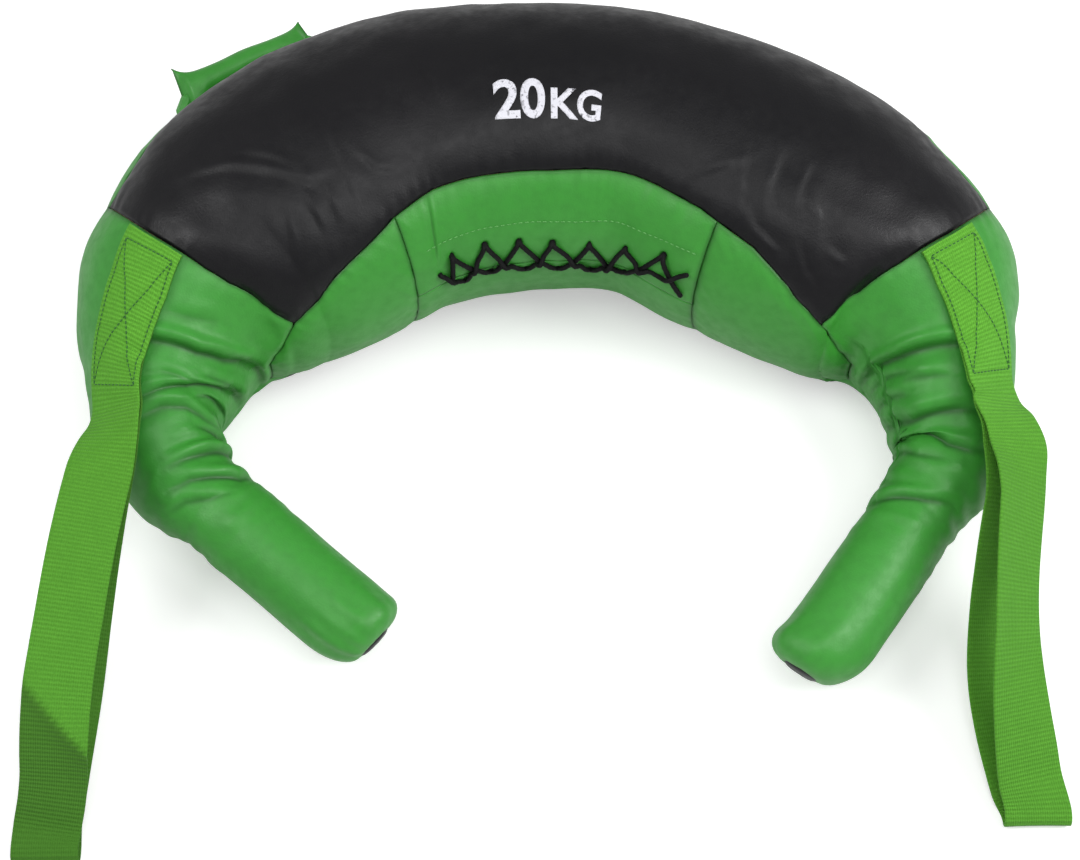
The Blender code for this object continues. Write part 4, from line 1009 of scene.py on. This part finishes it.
def handle_cover(side, word):
    """The leather sleeve round the rear handle's core: straight on top, its ends widened and pinched flat."""
    middle, along, stand = handle_frame(side)
    side_way = unit(np.cross(along, stand))
    piece, x, y = cut_piece("rear_handle_cover_soft_" + word, 80, 56)
    turn = 2 * math.pi * y
    run = (x - 0.5) * HANDLE_COVER_LENGTH * (1 - 0.05 * (1 + np.sin(turn)))
    edge = np.minimum(x, 1 - x) * HANDLE_COVER_LENGTH
    outer_end = x if side > 0 else 1 - x
    radius = HANDLE_CORE_DIAMETER / 2 + HANDLE_COVER_SLACK
    widened = 1 - ease(0.0, HANDLE_FLARE_LENGTH, edge)
    corner = np.exp(-edge / HANDLE_CORNER_LENGTH)
    top = HANDLE_STAND + radius + (0.0050 + 0.0040 * outer_end) * corner + 0.0036 * (outer_end - 0.4)
    bottom = (HANDLE_STAND - radius) * (1 - widened) + 0.0012 * widened
    pinch = ease(0.0, HANDLE_CORNER_LENGTH, edge)
    half_width = HANDLE_PINCH + (HANDLE_COVER_HALF_HEIGHT - HANDLE_PINCH - 0.0022 * widened) * pinch
    soft = 0.0004 * waves(np.stack([run, np.cos(turn) * 0.01, np.sin(turn) * 0.01], axis=1), 0.02, 81 + side)
    bow = 0.0016 * (1 - (2 * x - 1) ** 2)
    height = (top + bottom) / 2 + ((top - bottom) / 2 + soft) * np.sin(turn) + bow
    points = (middle + along * run[:, None] + stand * height[:, None]
              + side_way * ((half_width + soft * pinch) * np.cos(turn))[:, None])
    bend_to(piece, points)
    lay_out(piece, run, y * 0.06)
    # Painted shade along the cover's sewn ends
    note(piece, "crease_shade", seam_shadow(edge, 0.6, 0.0012))
    close_tube(piece)
    turn_outward(piece)
    facing = np.array([v.normal[:] for v in piece.data.vertices])
    from_core = corners_of(piece) - (middle + stand * HANDLE_STAND)
    near = np.linalg.norm(from_core, axis=1) < 0.02
    if float(np.mean(np.sum(facing[near] * from_core[near], axis=1))) < 0:
        piece.data.flip_normals()
    give_thickness(piece, HANDLE_COVER)
    return piece


def handle_patch(side, word, end, offset):
    """The leather patch on the rim that a handle's end is sewn to."""
    centre = side * (HANDLE_AT - offset)
    piece, x, y = cut_piece("rear_patch_" + word + "_" + end, 24, 24)
    at = centre + (x - 0.5) * 2 * PATCH_HALF_LENGTH
    angle = HANDLE_ANGLE + turn_for(PATCH_HALF_HEIGHT) * 2 * (y - 0.5)
    distance = 2 * np.minimum(np.minimum(x, 1 - x) * PATCH_HALF_LENGTH,
                              np.minimum(y, 1 - y) * PATCH_HALF_HEIGHT)
    lift = PATCH_TOP - 0.0010 * np.exp(-(distance / 0.0022) ** 1.5)
    points = skin(at, angle, lift)
    return sew_up(piece, points, at, arc_for(angle), seam_shadow(distance, 0.5, 0.0012), PATCH)


def patch_stitch_lines(side, offset):
    """A stitched square near the edge of a handle's patch."""
    centre = side * (HANDLE_AT - offset)
    reach = PATCH_HALF_LENGTH - PATCH_STITCH_INSET
    turn = turn_for(PATCH_HALF_HEIGHT - PATCH_STITCH_INSET)
    corners = [(-reach, -turn), (reach, -turn), (reach, turn), (-reach, turn), (-reach, -turn)]
    lines, normals = [], []
    for (at0, angle0), (at1, angle1) in zip(corners[:-1], corners[1:]):
        share = np.linspace(0.04, 0.96, 20)
        at = centre + at0 + share * (at1 - at0)
        angle = HANDLE_ANGLE + angle0 + share * (angle1 - angle0)
        lines.append(skin(at, angle, PATCH_TOP + STITCH_LIFT))
        normals.append(outward(at, angle))
    return lines, normals


# Lacing

def braid(name, points, diameter):
    """A round braided cord along a smooth line through the points."""
    points = np.asarray(points, float)
    knots = run_lengths(points)
    count = int(knots[-1] / BRAID_GRID)
    sides = 12
    piece, x, y = cut_piece(name, count, sides)
    samples = np.linspace(0.0, knots[-1], count + 1)
    line = smooth_curve(knots, points, samples)
    travel = unit(np.gradient(line, samples, axis=0))
    frame_way = np.empty_like(line)
    frame_way[0] = unit(np.cross(travel[0], [0.3, 0.2, 0.9]))
    for index in range(1, len(line)):
        way = frame_way[index - 1] - travel[index] * frame_way[index - 1].dot(travel[index])
        frame_way[index] = unit(way)
    other = np.cross(travel, frame_way)
    row = np.clip(np.round(x * count).astype(int), 0, count)
    turn = 2 * math.pi * y
    lay = samples[row] * 2 * math.pi / BRAID_LAY
    strand = BRAID_RELIEF * (np.sin(lay + 4 * turn) + np.sin(lay - 4 * turn))
    end = np.minimum(samples[row], knots[-1] - samples[row])
    radius = (diameter / 2 + strand) * rounded(end / (diameter / 2)) + 1e-5
    points = (line[row] + frame_way[row] * (radius * np.cos(turn))[:, None]
              + other[row] * (radius * np.sin(turn))[:, None])
    bend_to(piece, points)
    lay_out(piece, samples[row], y * math.pi * diameter)
    close_tube(piece)
    turn_outward(piece)
    bpy.ops.object.shade_smooth()
    return piece


def between(first, second, lift):
    """Two points on the way from one place of the lacing to the next."""
    return [(first[0] + (second[0] - first[0]) * share, first[1] + (second[1] - first[1]) * share, lift)
            for share in (0.35, 0.7)]


def through_upper(hole):
    """The cord dips into a hole of the upper row and comes out again beside it."""
    at, angle = hole
    return [(at + 0.0007, angle - 0.3, 0.0012), (at, angle + 0.3, -0.0018),
            (at - 0.0007, angle - 0.3, 0.0012)]


def lacing():
    """One cord: out to the left, over a short end bar, back over itself, with two tails on the right."""
    out = [(upper_holes[6], 0.0)]
    back = [(lower_holes[0], 0.0)]
    for index in range(5, -1, -1):
        out.append((crossings[index], 0.0))
        out.append(((lower_holes if index % 2 else upper_holes)[index], 0.0))
    for index in range(6):
        back.append((crossings[index], LACE_DIAMETER))
        if index < 5:
            back.append(((lower_holes if index % 2 else upper_holes)[index + 1], 0.0))
    route = [(0.1370, 6.5, LACE_LOW), (0.1335, 8.5, LACE_LOW), (0.1270, 13.0, LACE_LOW)]
    for turn_list, runs_left in ((out, True), (back, False)):
        last = None
        for place, over in turn_list:
            if last is not None:
                route += between(last, place, LACE_LOW)
            if place in upper_holes:
                route += through_upper(place) if runs_left else through_upper(place)[::-1]
            elif place in lower_holes:
                route.append((place[0], place[1], -0.0002))
            else:
                route.append((place[0], place[1], LACE_LOW + over))
            last = place
        if runs_left:
            route += [(-0.0738, 10.0, LACE_LOW), (-0.0758, 4.2, LACE_LOW), (-0.0765, 1.8, 0.0),
                      (-0.0785, 2.6, -0.0036), (-0.0860, 6.4, -0.0036), (-0.0915, 9.0, -0.0010),
                      (-0.0925, 9.3, 0.0010), (-0.0860, 6.9, LACE_LOW), (-0.0770, 3.8, LACE_LOW + 0.0020),
                      (-0.0690, 1.6, LACE_LOW)]
    route += [(0.1120, 10.5, LACE_LOW), (0.1200, 10.8, LACE_LOW), (0.1270, 13.2, LACE_LOW + LACE_DIAMETER),
              (0.1330, 16.5, LACE_LOW), (0.1380, 19.5, LACE_LOW)]
    points = [skin(*step) for step in route]
    return braid("lacing", points, LACE_DIAMETER)


# Stitches

def read_line(line, knots, place):
    """One row of a table of three columns, read between its knots."""
    return np.array([np.interp(place, knots, line[:, axis]) for axis in range(3)])


def stitches(name, lines, normals, pitch, length, thickness):
    """Rows of thread stitches along lines that lie on a surface, as one piece."""
    bpy.ops.object.select_all(action="DESELECT")
    bpy.ops.mesh.primitive_uv_sphere_add(segments=8, ring_count=6, radius=0.5)
    one = bpy.context.active_object
    shape = corners_of(one)
    faces = [list(polygon.vertices) for polygon in one.data.polygons]
    bpy.data.objects.remove(one, do_unlink=True)
    all_points, all_faces = [], []
    for line, facing in zip(lines, normals):
        line, facing = np.asarray(line, float), np.asarray(facing, float)
        knots = run_lengths(line)
        count = max(1, int(round(knots[-1] / pitch)))
        for index in range(count):
            place = (index + 0.5) * knots[-1] / count
            here = read_line(line, knots, place)
            along = unit(read_line(line, knots, place + length / 2)
                         - read_line(line, knots, place - length / 2))
            out = unit(read_line(facing, knots, place))
            across = unit(np.cross(out, along))
            out = np.cross(along, across)
            flat = shape * np.array([length, thickness * 1.2, thickness])
            start = len(all_points) * len(shape)
            all_points.append(here + flat[:, :1] * along + flat[:, 1:2] * across + flat[:, 2:] * out)
            all_faces += [[start + corner for corner in face] for face in faces]
    mesh = bpy.data.meshes.new(name)
    mesh.from_pydata(np.concatenate(all_points).tolist(), [], all_faces)
    mesh.update()
    piece = bpy.data.objects.new(name, mesh)
    bpy.context.scene.collection.objects.link(piece)
    only(piece)
    bpy.ops.object.shade_smooth()
    return piece


def strap_stitch_lines(side):
    """A long box and a cross of stitching that hold the sewn webbing on the shoulder."""
    low, high, edge = 0.2590, 0.3215, 0.0160
    corners = [(low, -edge), (high, -edge), (high, edge), (low, edge)]
    paths = [(corners[0], corners[1]), (corners[1], corners[2]), (corners[2], corners[3]),
             (corners[3], corners[0]), (corners[0], corners[2]), (corners[3], corners[1])]
    lines, normals = [], []
    for (place0, offset0), (place1, offset1) in paths:
        line, facing = [], []
        for share in np.linspace(0.0, 1.0, 40):
            at = side * (place0 + share * (place1 - place0))
            offset = offset0 + share * (offset1 - offset0)
            row = sewn_top_row(side, at, 0.5 * WEBBING + 0.0002)
            spread = np.linspace(-0.5, 0.5, STRAP_THREADS) * WEBBING_WIDTH
            line.append(read_line(row, spread, offset))
            facing.append(outward(np.array([at]), np.array([105.0 + offset * 700.0]))[0])
        lines.append(line)
        normals.append(facing)
    return lines, normals


def hem_stitches():
    """The row of stitches that holds the laced panel's hem."""
    places, angles = zip(*hem_line)
    at = np.linspace(places[0], places[-1], 240)
    angle = np.interp(at, places, angles)
    line = skin(at, angle, stuffing(skin(at, angle), LACED_SEED) + HEM_LIFT)
    return stitches("hem_stitches", [line], [outward(at, angle)], *HEM_STITCH)


# Finishes

LEATHER_MOTTLE = 9.0
LEATHER_SPECKS = 160.0
LEATHER_WRINKLES = 60.0
LEATHER_GRAIN = 900.0
RIB_PITCH = 0.0025
WARP_PITCH = 0.0013
# Where along the webbing its painted shade on the free loops fades in
FREE_LOOP_SHADE_FROM = 0.075
FREE_LOOP_SHADE_TO = 0.150


def srgb(red, green, blue):
    """A colour given as it looks, in Blender's linear values."""
    def linear(value):
        """One part of it."""
        value /= 255.0
        return value / 12.92 if value <= 0.04045 else ((value + 0.055) / 1.055) ** 2.4
    return (linear(red), linear(green), linear(blue), 1.0)


def new_material(name, roughness, specular, sheen=0.0):
    """A material, its node tree and its shader, with what is the same all over set on the shader."""
    material = bpy.data.materials.new(name)
    material.use_nodes = True
    shader = material.node_tree.nodes["Principled BSDF"]
    shader.inputs["Roughness"].default_value = roughness
    shader.inputs["Specular IOR Level"].default_value = specular
    shader.inputs["Sheen Weight"].default_value = sheen
    return material, material.node_tree, shader


def add(tree, kind, inputs=None, **settings):
    """A node with its settings, and its inputs set or linked."""
    node = tree.nodes.new(kind)
    for key, value in settings.items():
        setattr(node, key, value)
    for key, value in (inputs or {}).items():
        if isinstance(value, bpy.types.NodeSocket):
            tree.links.new(value, node.inputs[key])
        else:
            node.inputs[key].default_value = value
    return node


def object_place(tree):
    """Where on the object the surface is, in metres."""
    return add(tree, "ShaderNodeTexCoord").outputs["Object"]


def marked(tree, name):
    """The value that a piece's corners were marked with."""
    return add(tree, "ShaderNodeAttribute", attribute_name=name).outputs["Fac"]


def noise(tree, place, scale, detail, roughness=0.5):
    """Cloudy noise."""
    inputs = {"Vector": place, "Scale": scale, "Detail": detail, "Roughness": roughness}
    return add(tree, "ShaderNodeTexNoise", inputs).outputs[0]


def blend_colours(tree, share, first, second):
    """The first colour, and the second one by the share."""
    return add(tree, "ShaderNodeMix", {0: share, 6: first, 7: second}, data_type="RGBA").outputs[2]


def ranged(tree, value, low, high, new_low, new_high):
    """A value from one range put into another and held there."""
    return add(tree, "ShaderNodeMapRange", {0: value, 1: low, 2: high, 3: new_low, 4: new_high}).outputs[0]


def math_node(tree, operation, first, second):
    """The result of one sum on two values."""
    return add(tree, "ShaderNodeMath", {0: first, 1: second}, operation=operation).outputs[0]


def stripes(tree, value, pitch):
    """Even ups and downs along a length, between -1 and 1."""
    return math_node(tree, "SINE", math_node(tree, "MULTIPLY", value, 2 * math.pi / pitch), 0.0)


def colour_and_relief(tree, shader, colour, height, strength, depth):
    """Gives the shader its colour and its fine relief."""
    tree.links.new(colour, shader.inputs["Base Color"])
    bump = add(tree, "ShaderNodeBump", {"Strength": strength, "Distance": depth, "Height": height})
    tree.links.new(bump.outputs[0], shader.inputs["Normal"])


def leather_finish(name, base, light, dark, roughness, specular, wrinkle):
    """Pebbled leather: grain, fine wrinkles, mottled dye, and painted shade in its creases, seams and lacing
    holes.
    """
    material, tree, shader = new_material(name, roughness, specular)
    place = object_place(tree)
    mottle = ranged(tree, noise(tree, place, LEATHER_MOTTLE, 2.0), 0.32, 0.68, 0.0, 1.0)
    fine = noise(tree, place, LEATHER_SPECKS, 4.0)
    colour = blend_colours(tree, mottle, base, light)
    colour = blend_colours(tree, ranged(tree, fine, 0.40, 0.80, 0.0, 0.16), colour, dark)
    # Painted shade where the pieces were marked: creases, seams and lacing holes
    colour = blend_colours(tree, math_node(tree, "MULTIPLY", marked(tree, "crease_shade"), 0.85), colour, dark)
    rough = ranged(tree, fine, 0.3, 0.7, roughness - 0.05, roughness + 0.08)
    tree.links.new(rough, shader.inputs["Roughness"])
    pebble = add(tree, "ShaderNodeTexVoronoi", {"Vector": place, "Scale": LEATHER_GRAIN, "Randomness": 1.0},
                 feature="SMOOTH_F1").outputs[0]
    small = noise(tree, place, LEATHER_WRINKLES, 5.0, 0.6)
    height = math_node(tree, "ADD", math_node(tree, "MULTIPLY", pebble, 0.25), small)
    colour_and_relief(tree, shader, colour, height, 0.55, wrinkle * 3)
    return material


def webbing_finish(name):
    """Ribbed webbing: cross ribs and fine warp threads, with painted shade in the grooves between the ribs, on
    the free loops and the layer beneath, and past the left strap's diagonal fold.
    """
    material, tree, shader = new_material(name, 0.8, 0.16, 0.04)
    place = add(tree, "ShaderNodeUVMap").outputs[0]
    parts = add(tree, "ShaderNodeSeparateXYZ", {0: place})
    ribs = stripes(tree, parts.outputs[0], RIB_PITCH)
    warp = stripes(tree, parts.outputs[1], WARP_PITCH)
    weave = math_node(tree, "ADD", ribs, math_node(tree, "MULTIPLY", warp, 0.45))
    mottle = ranged(tree, noise(tree, place, 90.0, 3.0), 0.35, 0.7, 0.0, 0.45)
    speck = ranged(tree, noise(tree, place, 900.0, 2.0), 0.45, 0.75, 0.0, 0.45)
    # Painted shade: the webbing darker from just past its sewn end, over the free loops and the layer beneath
    free_loop_shade = ranged(tree, parts.outputs[0], FREE_LOOP_SHADE_FROM, FREE_LOOP_SHADE_TO, 0.0, 0.38)
    # Painted shade past the left strap's diagonal fold
    wear_and_shade = math_node(tree, "MULTIPLY", marked(tree, "wear_and_shade"), 0.75)
    # Painted shade between the ribs: the colour follows the weave's relief, lighter on the ribs and darker in
    # the grooves
    rib_shade = ranged(tree, weave, -1.2, 1.2, 0.0, 1.0)
    colour = blend_colours(tree, rib_shade, srgb(84, 150, 42), srgb(102, 176, 56))
    for share, darker in ((mottle, srgb(84, 152, 44)), (speck, srgb(58, 112, 30)),
                          (free_loop_shade, srgb(64, 118, 34)), (wear_and_shade, srgb(58, 104, 30))):
        colour = blend_colours(tree, share, colour, darker)
    colour_and_relief(tree, shader, colour, weave, 0.6, 0.0003)
    return material


def thread_finish(name, base, dark, roughness=0.6, specular=0.35, sheen=0.15):
    """Twisted thread or braid: a fine diagonal lay and soft unevenness."""
    material, tree, shader = new_material(name, roughness, specular, sheen)
    inputs = {"Vector": object_place(tree), "Scale": 420.0, "Distortion": 2.0}
    lay = add(tree, "ShaderNodeTexWave", inputs, bands_direction="DIAGONAL").outputs[1]
    colour_and_relief(tree, shader, blend_colours(tree, lay, dark, base), lay, 0.5, 0.0002)
    return material


def cloth_finish(name, base, dark, pitch):
    """Plain woven sackcloth or pressed fibre on the layers inside."""
    material, tree, shader = new_material(name, 0.9, 0.2, 0.2)
    place = object_place(tree)
    parts = add(tree, "ShaderNodeSeparateXYZ", {0: place})
    across = math_node(tree, "ADD", parts.outputs[0], parts.outputs[1])
    weave = math_node(tree, "MULTIPLY", stripes(tree, across, pitch), stripes(tree, parts.outputs[2], pitch))
    fuzz = noise(tree, place, 300.0, 4.0)
    colour = blend_colours(tree, ranged(tree, weave, -1.0, 1.0, 0.0, 1.0), dark, base)
    colour = blend_colours(tree, ranged(tree, fuzz, 0.3, 0.7, 0.0, 0.5), colour, dark)
    colour_and_relief(tree, shader, colour, math_node(tree, "ADD", weave, fuzz), 0.6, 0.0005)
    return material


def print_finish(name):
    """White print, rubbed through in small specks."""
    material, tree, shader = new_material(name, 0.5, 0.4)
    place = object_place(tree)
    specks = noise(tree, place, 420.0, 4.0)
    cloud = noise(tree, place, 70.0, 2.0)
    wear_and_shade = math_node(tree, "MULTIPLY", ranged(tree, specks, 0.56, 0.64, 0.0, 1.0),
                     ranged(tree, cloud, 0.4, 0.62, 0.2, 0.9))
    colour = blend_colours(tree, wear_and_shade, srgb(212, 212, 220), srgb(62, 62, 68))
    colour_and_relief(tree, shader, colour, specks, 0.3, 0.0002)
    return material


BLACK_LEATHER = leather_finish("black_leather", srgb(13, 13, 16), srgb(18, 17, 20), srgb(5, 5, 6),
                               roughness=0.42, specular=0.28, wrinkle=0.00016)
GREEN_LEATHER = leather_finish("green_leather", srgb(53, 139, 46), srgb(59, 145, 51), srgb(20, 68, 20),
                               roughness=0.46, specular=0.44, wrinkle=0.00018)
WEBBING_GREEN = webbing_finish("ribbed_webbing")
LACE_BLACK = thread_finish("braided_lace", srgb(17, 17, 18), srgb(6, 6, 7), 0.7, 0.2, 0.0)
THREAD_GREEN = thread_finish("green_thread", srgb(44, 112, 36), srgb(26, 76, 24))
THREAD_PALE = thread_finish("pale_green_thread", srgb(112, 186, 102), srgb(62, 132, 58))
SACKCLOTH = cloth_finish("sackcloth", srgb(176, 158, 122), srgb(120, 104, 76), 0.0016)
FIBRE = cloth_finish("pressed_fibre", srgb(206, 203, 196), srgb(160, 156, 148), 0.0024)
WHITE_PRINT = print_finish("white_print")


def finish_with(piece, material):
    """Gives a piece one material in place of what it had."""
    piece.data.materials.clear()
    piece.data.materials.append(material)


def dress(piece, material, body, slot, *nodes):
    """Gives a piece its material and the body that it rides on, and hides the model's parts that it stands for.
    The slot is not used.
    """
    finish_with(piece, material)
    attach(piece, body)
    if nodes:
        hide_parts(*nodes)
    return piece


# The weight mark

# Its words, each with the places it runs between and its height
mark_words = (("20", -0.0302, -0.0005, 0.0248), ("KG", 0.0030, 0.0396, 0.0192))
MARK_ANGLE = 64.4
MARK_SLANT = 28.0
MARK_STRIP = 0.0024
MARK_LIFT = 0.00035
PRINT = 0.0003


def printed_word(words, left, right, height):
    """Flat letters between two places, cut into narrow strips that can follow the leather."""
    bpy.ops.object.select_all(action="DESELECT")
    bpy.ops.object.text_add(location=(0, 0, 0))
    text = bpy.context.active_object
    text.data.body = words
    text.data.size = height / 0.7
    text.data.offset = height * 0.038
    text.data.resolution_u = 6
    bpy.ops.object.convert(target="MESH")
    text = bpy.context.active_object
    shape = bmesh.new()
    shape.from_mesh(text.data)
    bmesh.ops.remove_doubles(shape, verts=shape.verts, dist=0.00002)
    wide = [v.co.x for v in shape.verts]
    tall = [v.co.y for v in shape.verts]
    for v in shape.verts:
        v.co.x = left + (v.co.x - min(wide)) * (right - left) / (max(wide) - min(wide))
        v.co.y = (v.co.y - min(tall)) * height / (max(tall) - min(tall))
    for way, start, stop in ((Vector((1, 0, 0)), -0.035, 0.045), (Vector((0, 1, 0)), MARK_STRIP / 2, 0.04)):
        for place in np.arange(start, stop, MARK_STRIP):
            bmesh.ops.bisect_plane(shape, geom=shape.verts[:] + shape.edges[:] + shape.faces[:],
                                   dist=0.000001, plane_co=way * place, plane_no=way)
    bmesh.ops.triangulate(shape, faces=shape.faces)
    shape.to_mesh(text.data)
    shape.free()
    return text


def weight_mark():
    """The rubbed white mark of 20 kg on the black leather."""
    parts = [printed_word(*word) for word in mark_words]
    only(parts[0])
    parts[1].select_set(True)
    bpy.ops.object.join()
    mark = bpy.context.active_object
    mark.name = mark.data.name = "weight_mark"
    flat = corners_of(mark)
    at = flat[:, 0]
    angle = MARK_ANGLE - MARK_SLANT * at + turn_for(flat[:, 1])
    bend_to(mark, skin(at, angle, stuffing(skin(at, angle), TOP_SEED) + MARK_LIFT))
    if np.mean([polygon.normal[2] for polygon in mark.data.polygons]) < 0:
        mark.data.flip_normals()
    give_thickness(mark, PRINT)
    return mark


# Building

for panel, node in body_leathers():
    black = panel.name.startswith("black")
    dress(panel, BLACK_LEATHER if black else GREEN_LEATHER, "bag",
          "leather_black" if black else "leather_green", node)

straps = {
    "right": strap(1, "right", right_top_shares, right_under_shares, reach=0.230, spread=0.015,
                   roll=math.radians(40.0), seed=91),
    "left": strap(-1, "left", left_top_shares, left_under_shares, reach=0.237, spread=0.037,
                  roll=math.radians(-8.0), seed=95, kinks=left_kinks)}

for side, word in ((1, "right"), (-1, "left")):
    dress(gusset(side, word, 60 + side), GREEN_LEATHER, "bag", "leather_green",
                         "inner_gusset_" + word)
    leather = shoulder_leather(side, word, 70 + side)
    finish_with(leather, GREEN_LEATHER)
    neck, direction = neck_point(side), grip_direction(side)
    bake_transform(leather)
    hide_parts("shoulder_sleeve_" + word, "grip_sleeve_" + word)
    dress(end_cap(side, word), BLACK_LEATHER, "grip_" + word, "leather_black", "grip_end_disc_" + word)
    dress(grip_roll(side, word), FIBRE, "grip_" + word, "fibre", "grip_core_" + word)
    webbing = straps[word]
    finish_with(webbing, WEBBING_GREEN)
    hinge, _, _, ahead = loop_hinge(side)
    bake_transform(webbing)
    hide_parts("strap_sewn_end_" + word, "strap_loop_" + word)
    cover = dress(handle_cover(side, word), GREEN_LEATHER, "handle_" + word, "leather_green",
                  "rear_handle_cover_" + word)
    for offset, end in ((-HANDLE_HALF_FOOT, "front"), (HANDLE_HALF_FOOT, "back")):
        dress(handle_patch(side, word, end, offset), GREEN_LEATHER, "bag", "leather_green",
              "rear_handle_patch_" + word + "_" + end)
        lines, normals = patch_stitch_lines(side, offset)
        dress(stitches("patch_stitches_" + word + "_" + end, lines, normals, *PATCH_STITCH),
              THREAD_PALE, "bag", "leather_green")

for side, word in ((1, "right"), (-1, "left")):
    lines, normals = strap_stitch_lines(side)
    dress(stitches("strap_stitches_" + word, lines, normals, *STRAP_STITCH), THREAD_GREEN, "bag", "webbing")

dress(lacing(), LACE_BLACK, "bag", "cord", "lacing_cord")
dress(weight_mark(), WHITE_PRINT, "bag", "leather_black")
dress(hem_stitches(), THREAD_PALE, "bag", "leather_green")

node_finishes = {
    "sand_bag": SACKCLOTH, "neck_filling": FIBRE, "grip_core": FIBRE, "rear_handle_core": GREEN_LEATHER,
    "lacing_tongue": GREEN_LEATHER}
for name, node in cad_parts.items():
    for start, material in node_finishes.items():
        if name.startswith(start):
            finish_with(node, material)
    if not node.data.materials or node.data.materials[0] is None:
        finish_with(node, GREEN_LEATHER)


# The studio

LENS = 86.4
CAMERA_PLACE = (-0.0172, -0.9539, 1.3856)
CAMERA_AIM = (-0.0053, -0.1539, 0.0)


def turned_to(place, aim):
    """The rotation of a lamp or camera at a place that looks at its aim."""
    return (Vector(aim) - Vector(place)).to_track_quat("-Z", "Y").to_euler()


def camera():
    """The camera where the photograph was taken from."""
    lens = bpy.data.cameras.new("photo_camera")
    lens.lens = LENS
    lens.sensor_width = 36.0
    view = bpy.data.objects.new("photo_camera", lens)
    bpy.context.scene.collection.objects.link(view)
    view.location = CAMERA_PLACE
    view.rotation_euler = turned_to(CAMERA_PLACE, CAMERA_AIM)
    bpy.context.scene.camera = view


def lamp(name, place, aim, size, power):
    """A round soft lamp at a place, turned to its aim."""
    light = bpy.data.lights.new(name, "AREA")
    light.shape = "DISK"
    light.size = size
    light.energy = power
    item = bpy.data.objects.new(name, light)
    bpy.context.scene.collection.objects.link(item)
    item.location = place
    item.rotation_euler = turned_to(place, aim)


def studio_floor():
    """A pale floor that takes the object's shadow and shows nearly white."""
    bpy.ops.object.select_all(action="DESELECT")
    bpy.ops.mesh.primitive_plane_add(size=8.0, location=(0, 0, 0))
    floor = bpy.context.active_object
    floor.name = floor.data.name = "studio_floor"
    material, tree, shader = new_material("pale_floor", 0.9, 0.1)
    shader.inputs["Base Color"].default_value = (0.82, 0.82, 0.82, 1.0)
    ray = add(tree, "ShaderNodeLightPath")
    glow = add(tree, "ShaderNodeEmission", {"Color": (1.0, 1.0, 1.0, 1.0)})
    tree.links.new(math_node(tree, "MULTIPLY", ray.outputs["Is Camera Ray"], 0.42), glow.inputs["Strength"])
    both = add(tree, "ShaderNodeAddShader", {0: shader.outputs[0], 1: glow.outputs[0]})
    tree.links.new(both.outputs[0], tree.nodes["Material Output"].inputs["Surface"])
    finish_with(floor, material)


def studio_light():
    """An even white world, and three soft lamps."""
    world = bpy.data.worlds.new("studio_world")
    world.use_nodes = True
    bpy.context.scene.world = world
    tree = world.node_tree
    background = tree.nodes["Background"]
    background.inputs["Color"].default_value = (1.0, 1.0, 1.0, 1.0)
    ray = add(tree, "ShaderNodeLightPath")
    strength = ranged(tree, ray.outputs["Is Camera Ray"], 0.0, 1.0, 0.40, 1.0)
    tree.links.new(strength, background.inputs["Strength"])
    lamp("right_light", (1.40, -0.45, 1.40), (0.05, -0.1, 0.0), size=1.1, power=24.0)
    lamp("left_light", (-1.20, -0.30, 1.45), (-0.05, -0.1, 0.0), size=0.9, power=12.0)
    lamp("front_light", (0.15, -0.75, 1.85), (0.02, -0.15, 0.0), size=1.1, power=9.0)


camera()
studio_floor()
studio_light()
bpy.context.scene.view_settings.view_transform = "Standard"
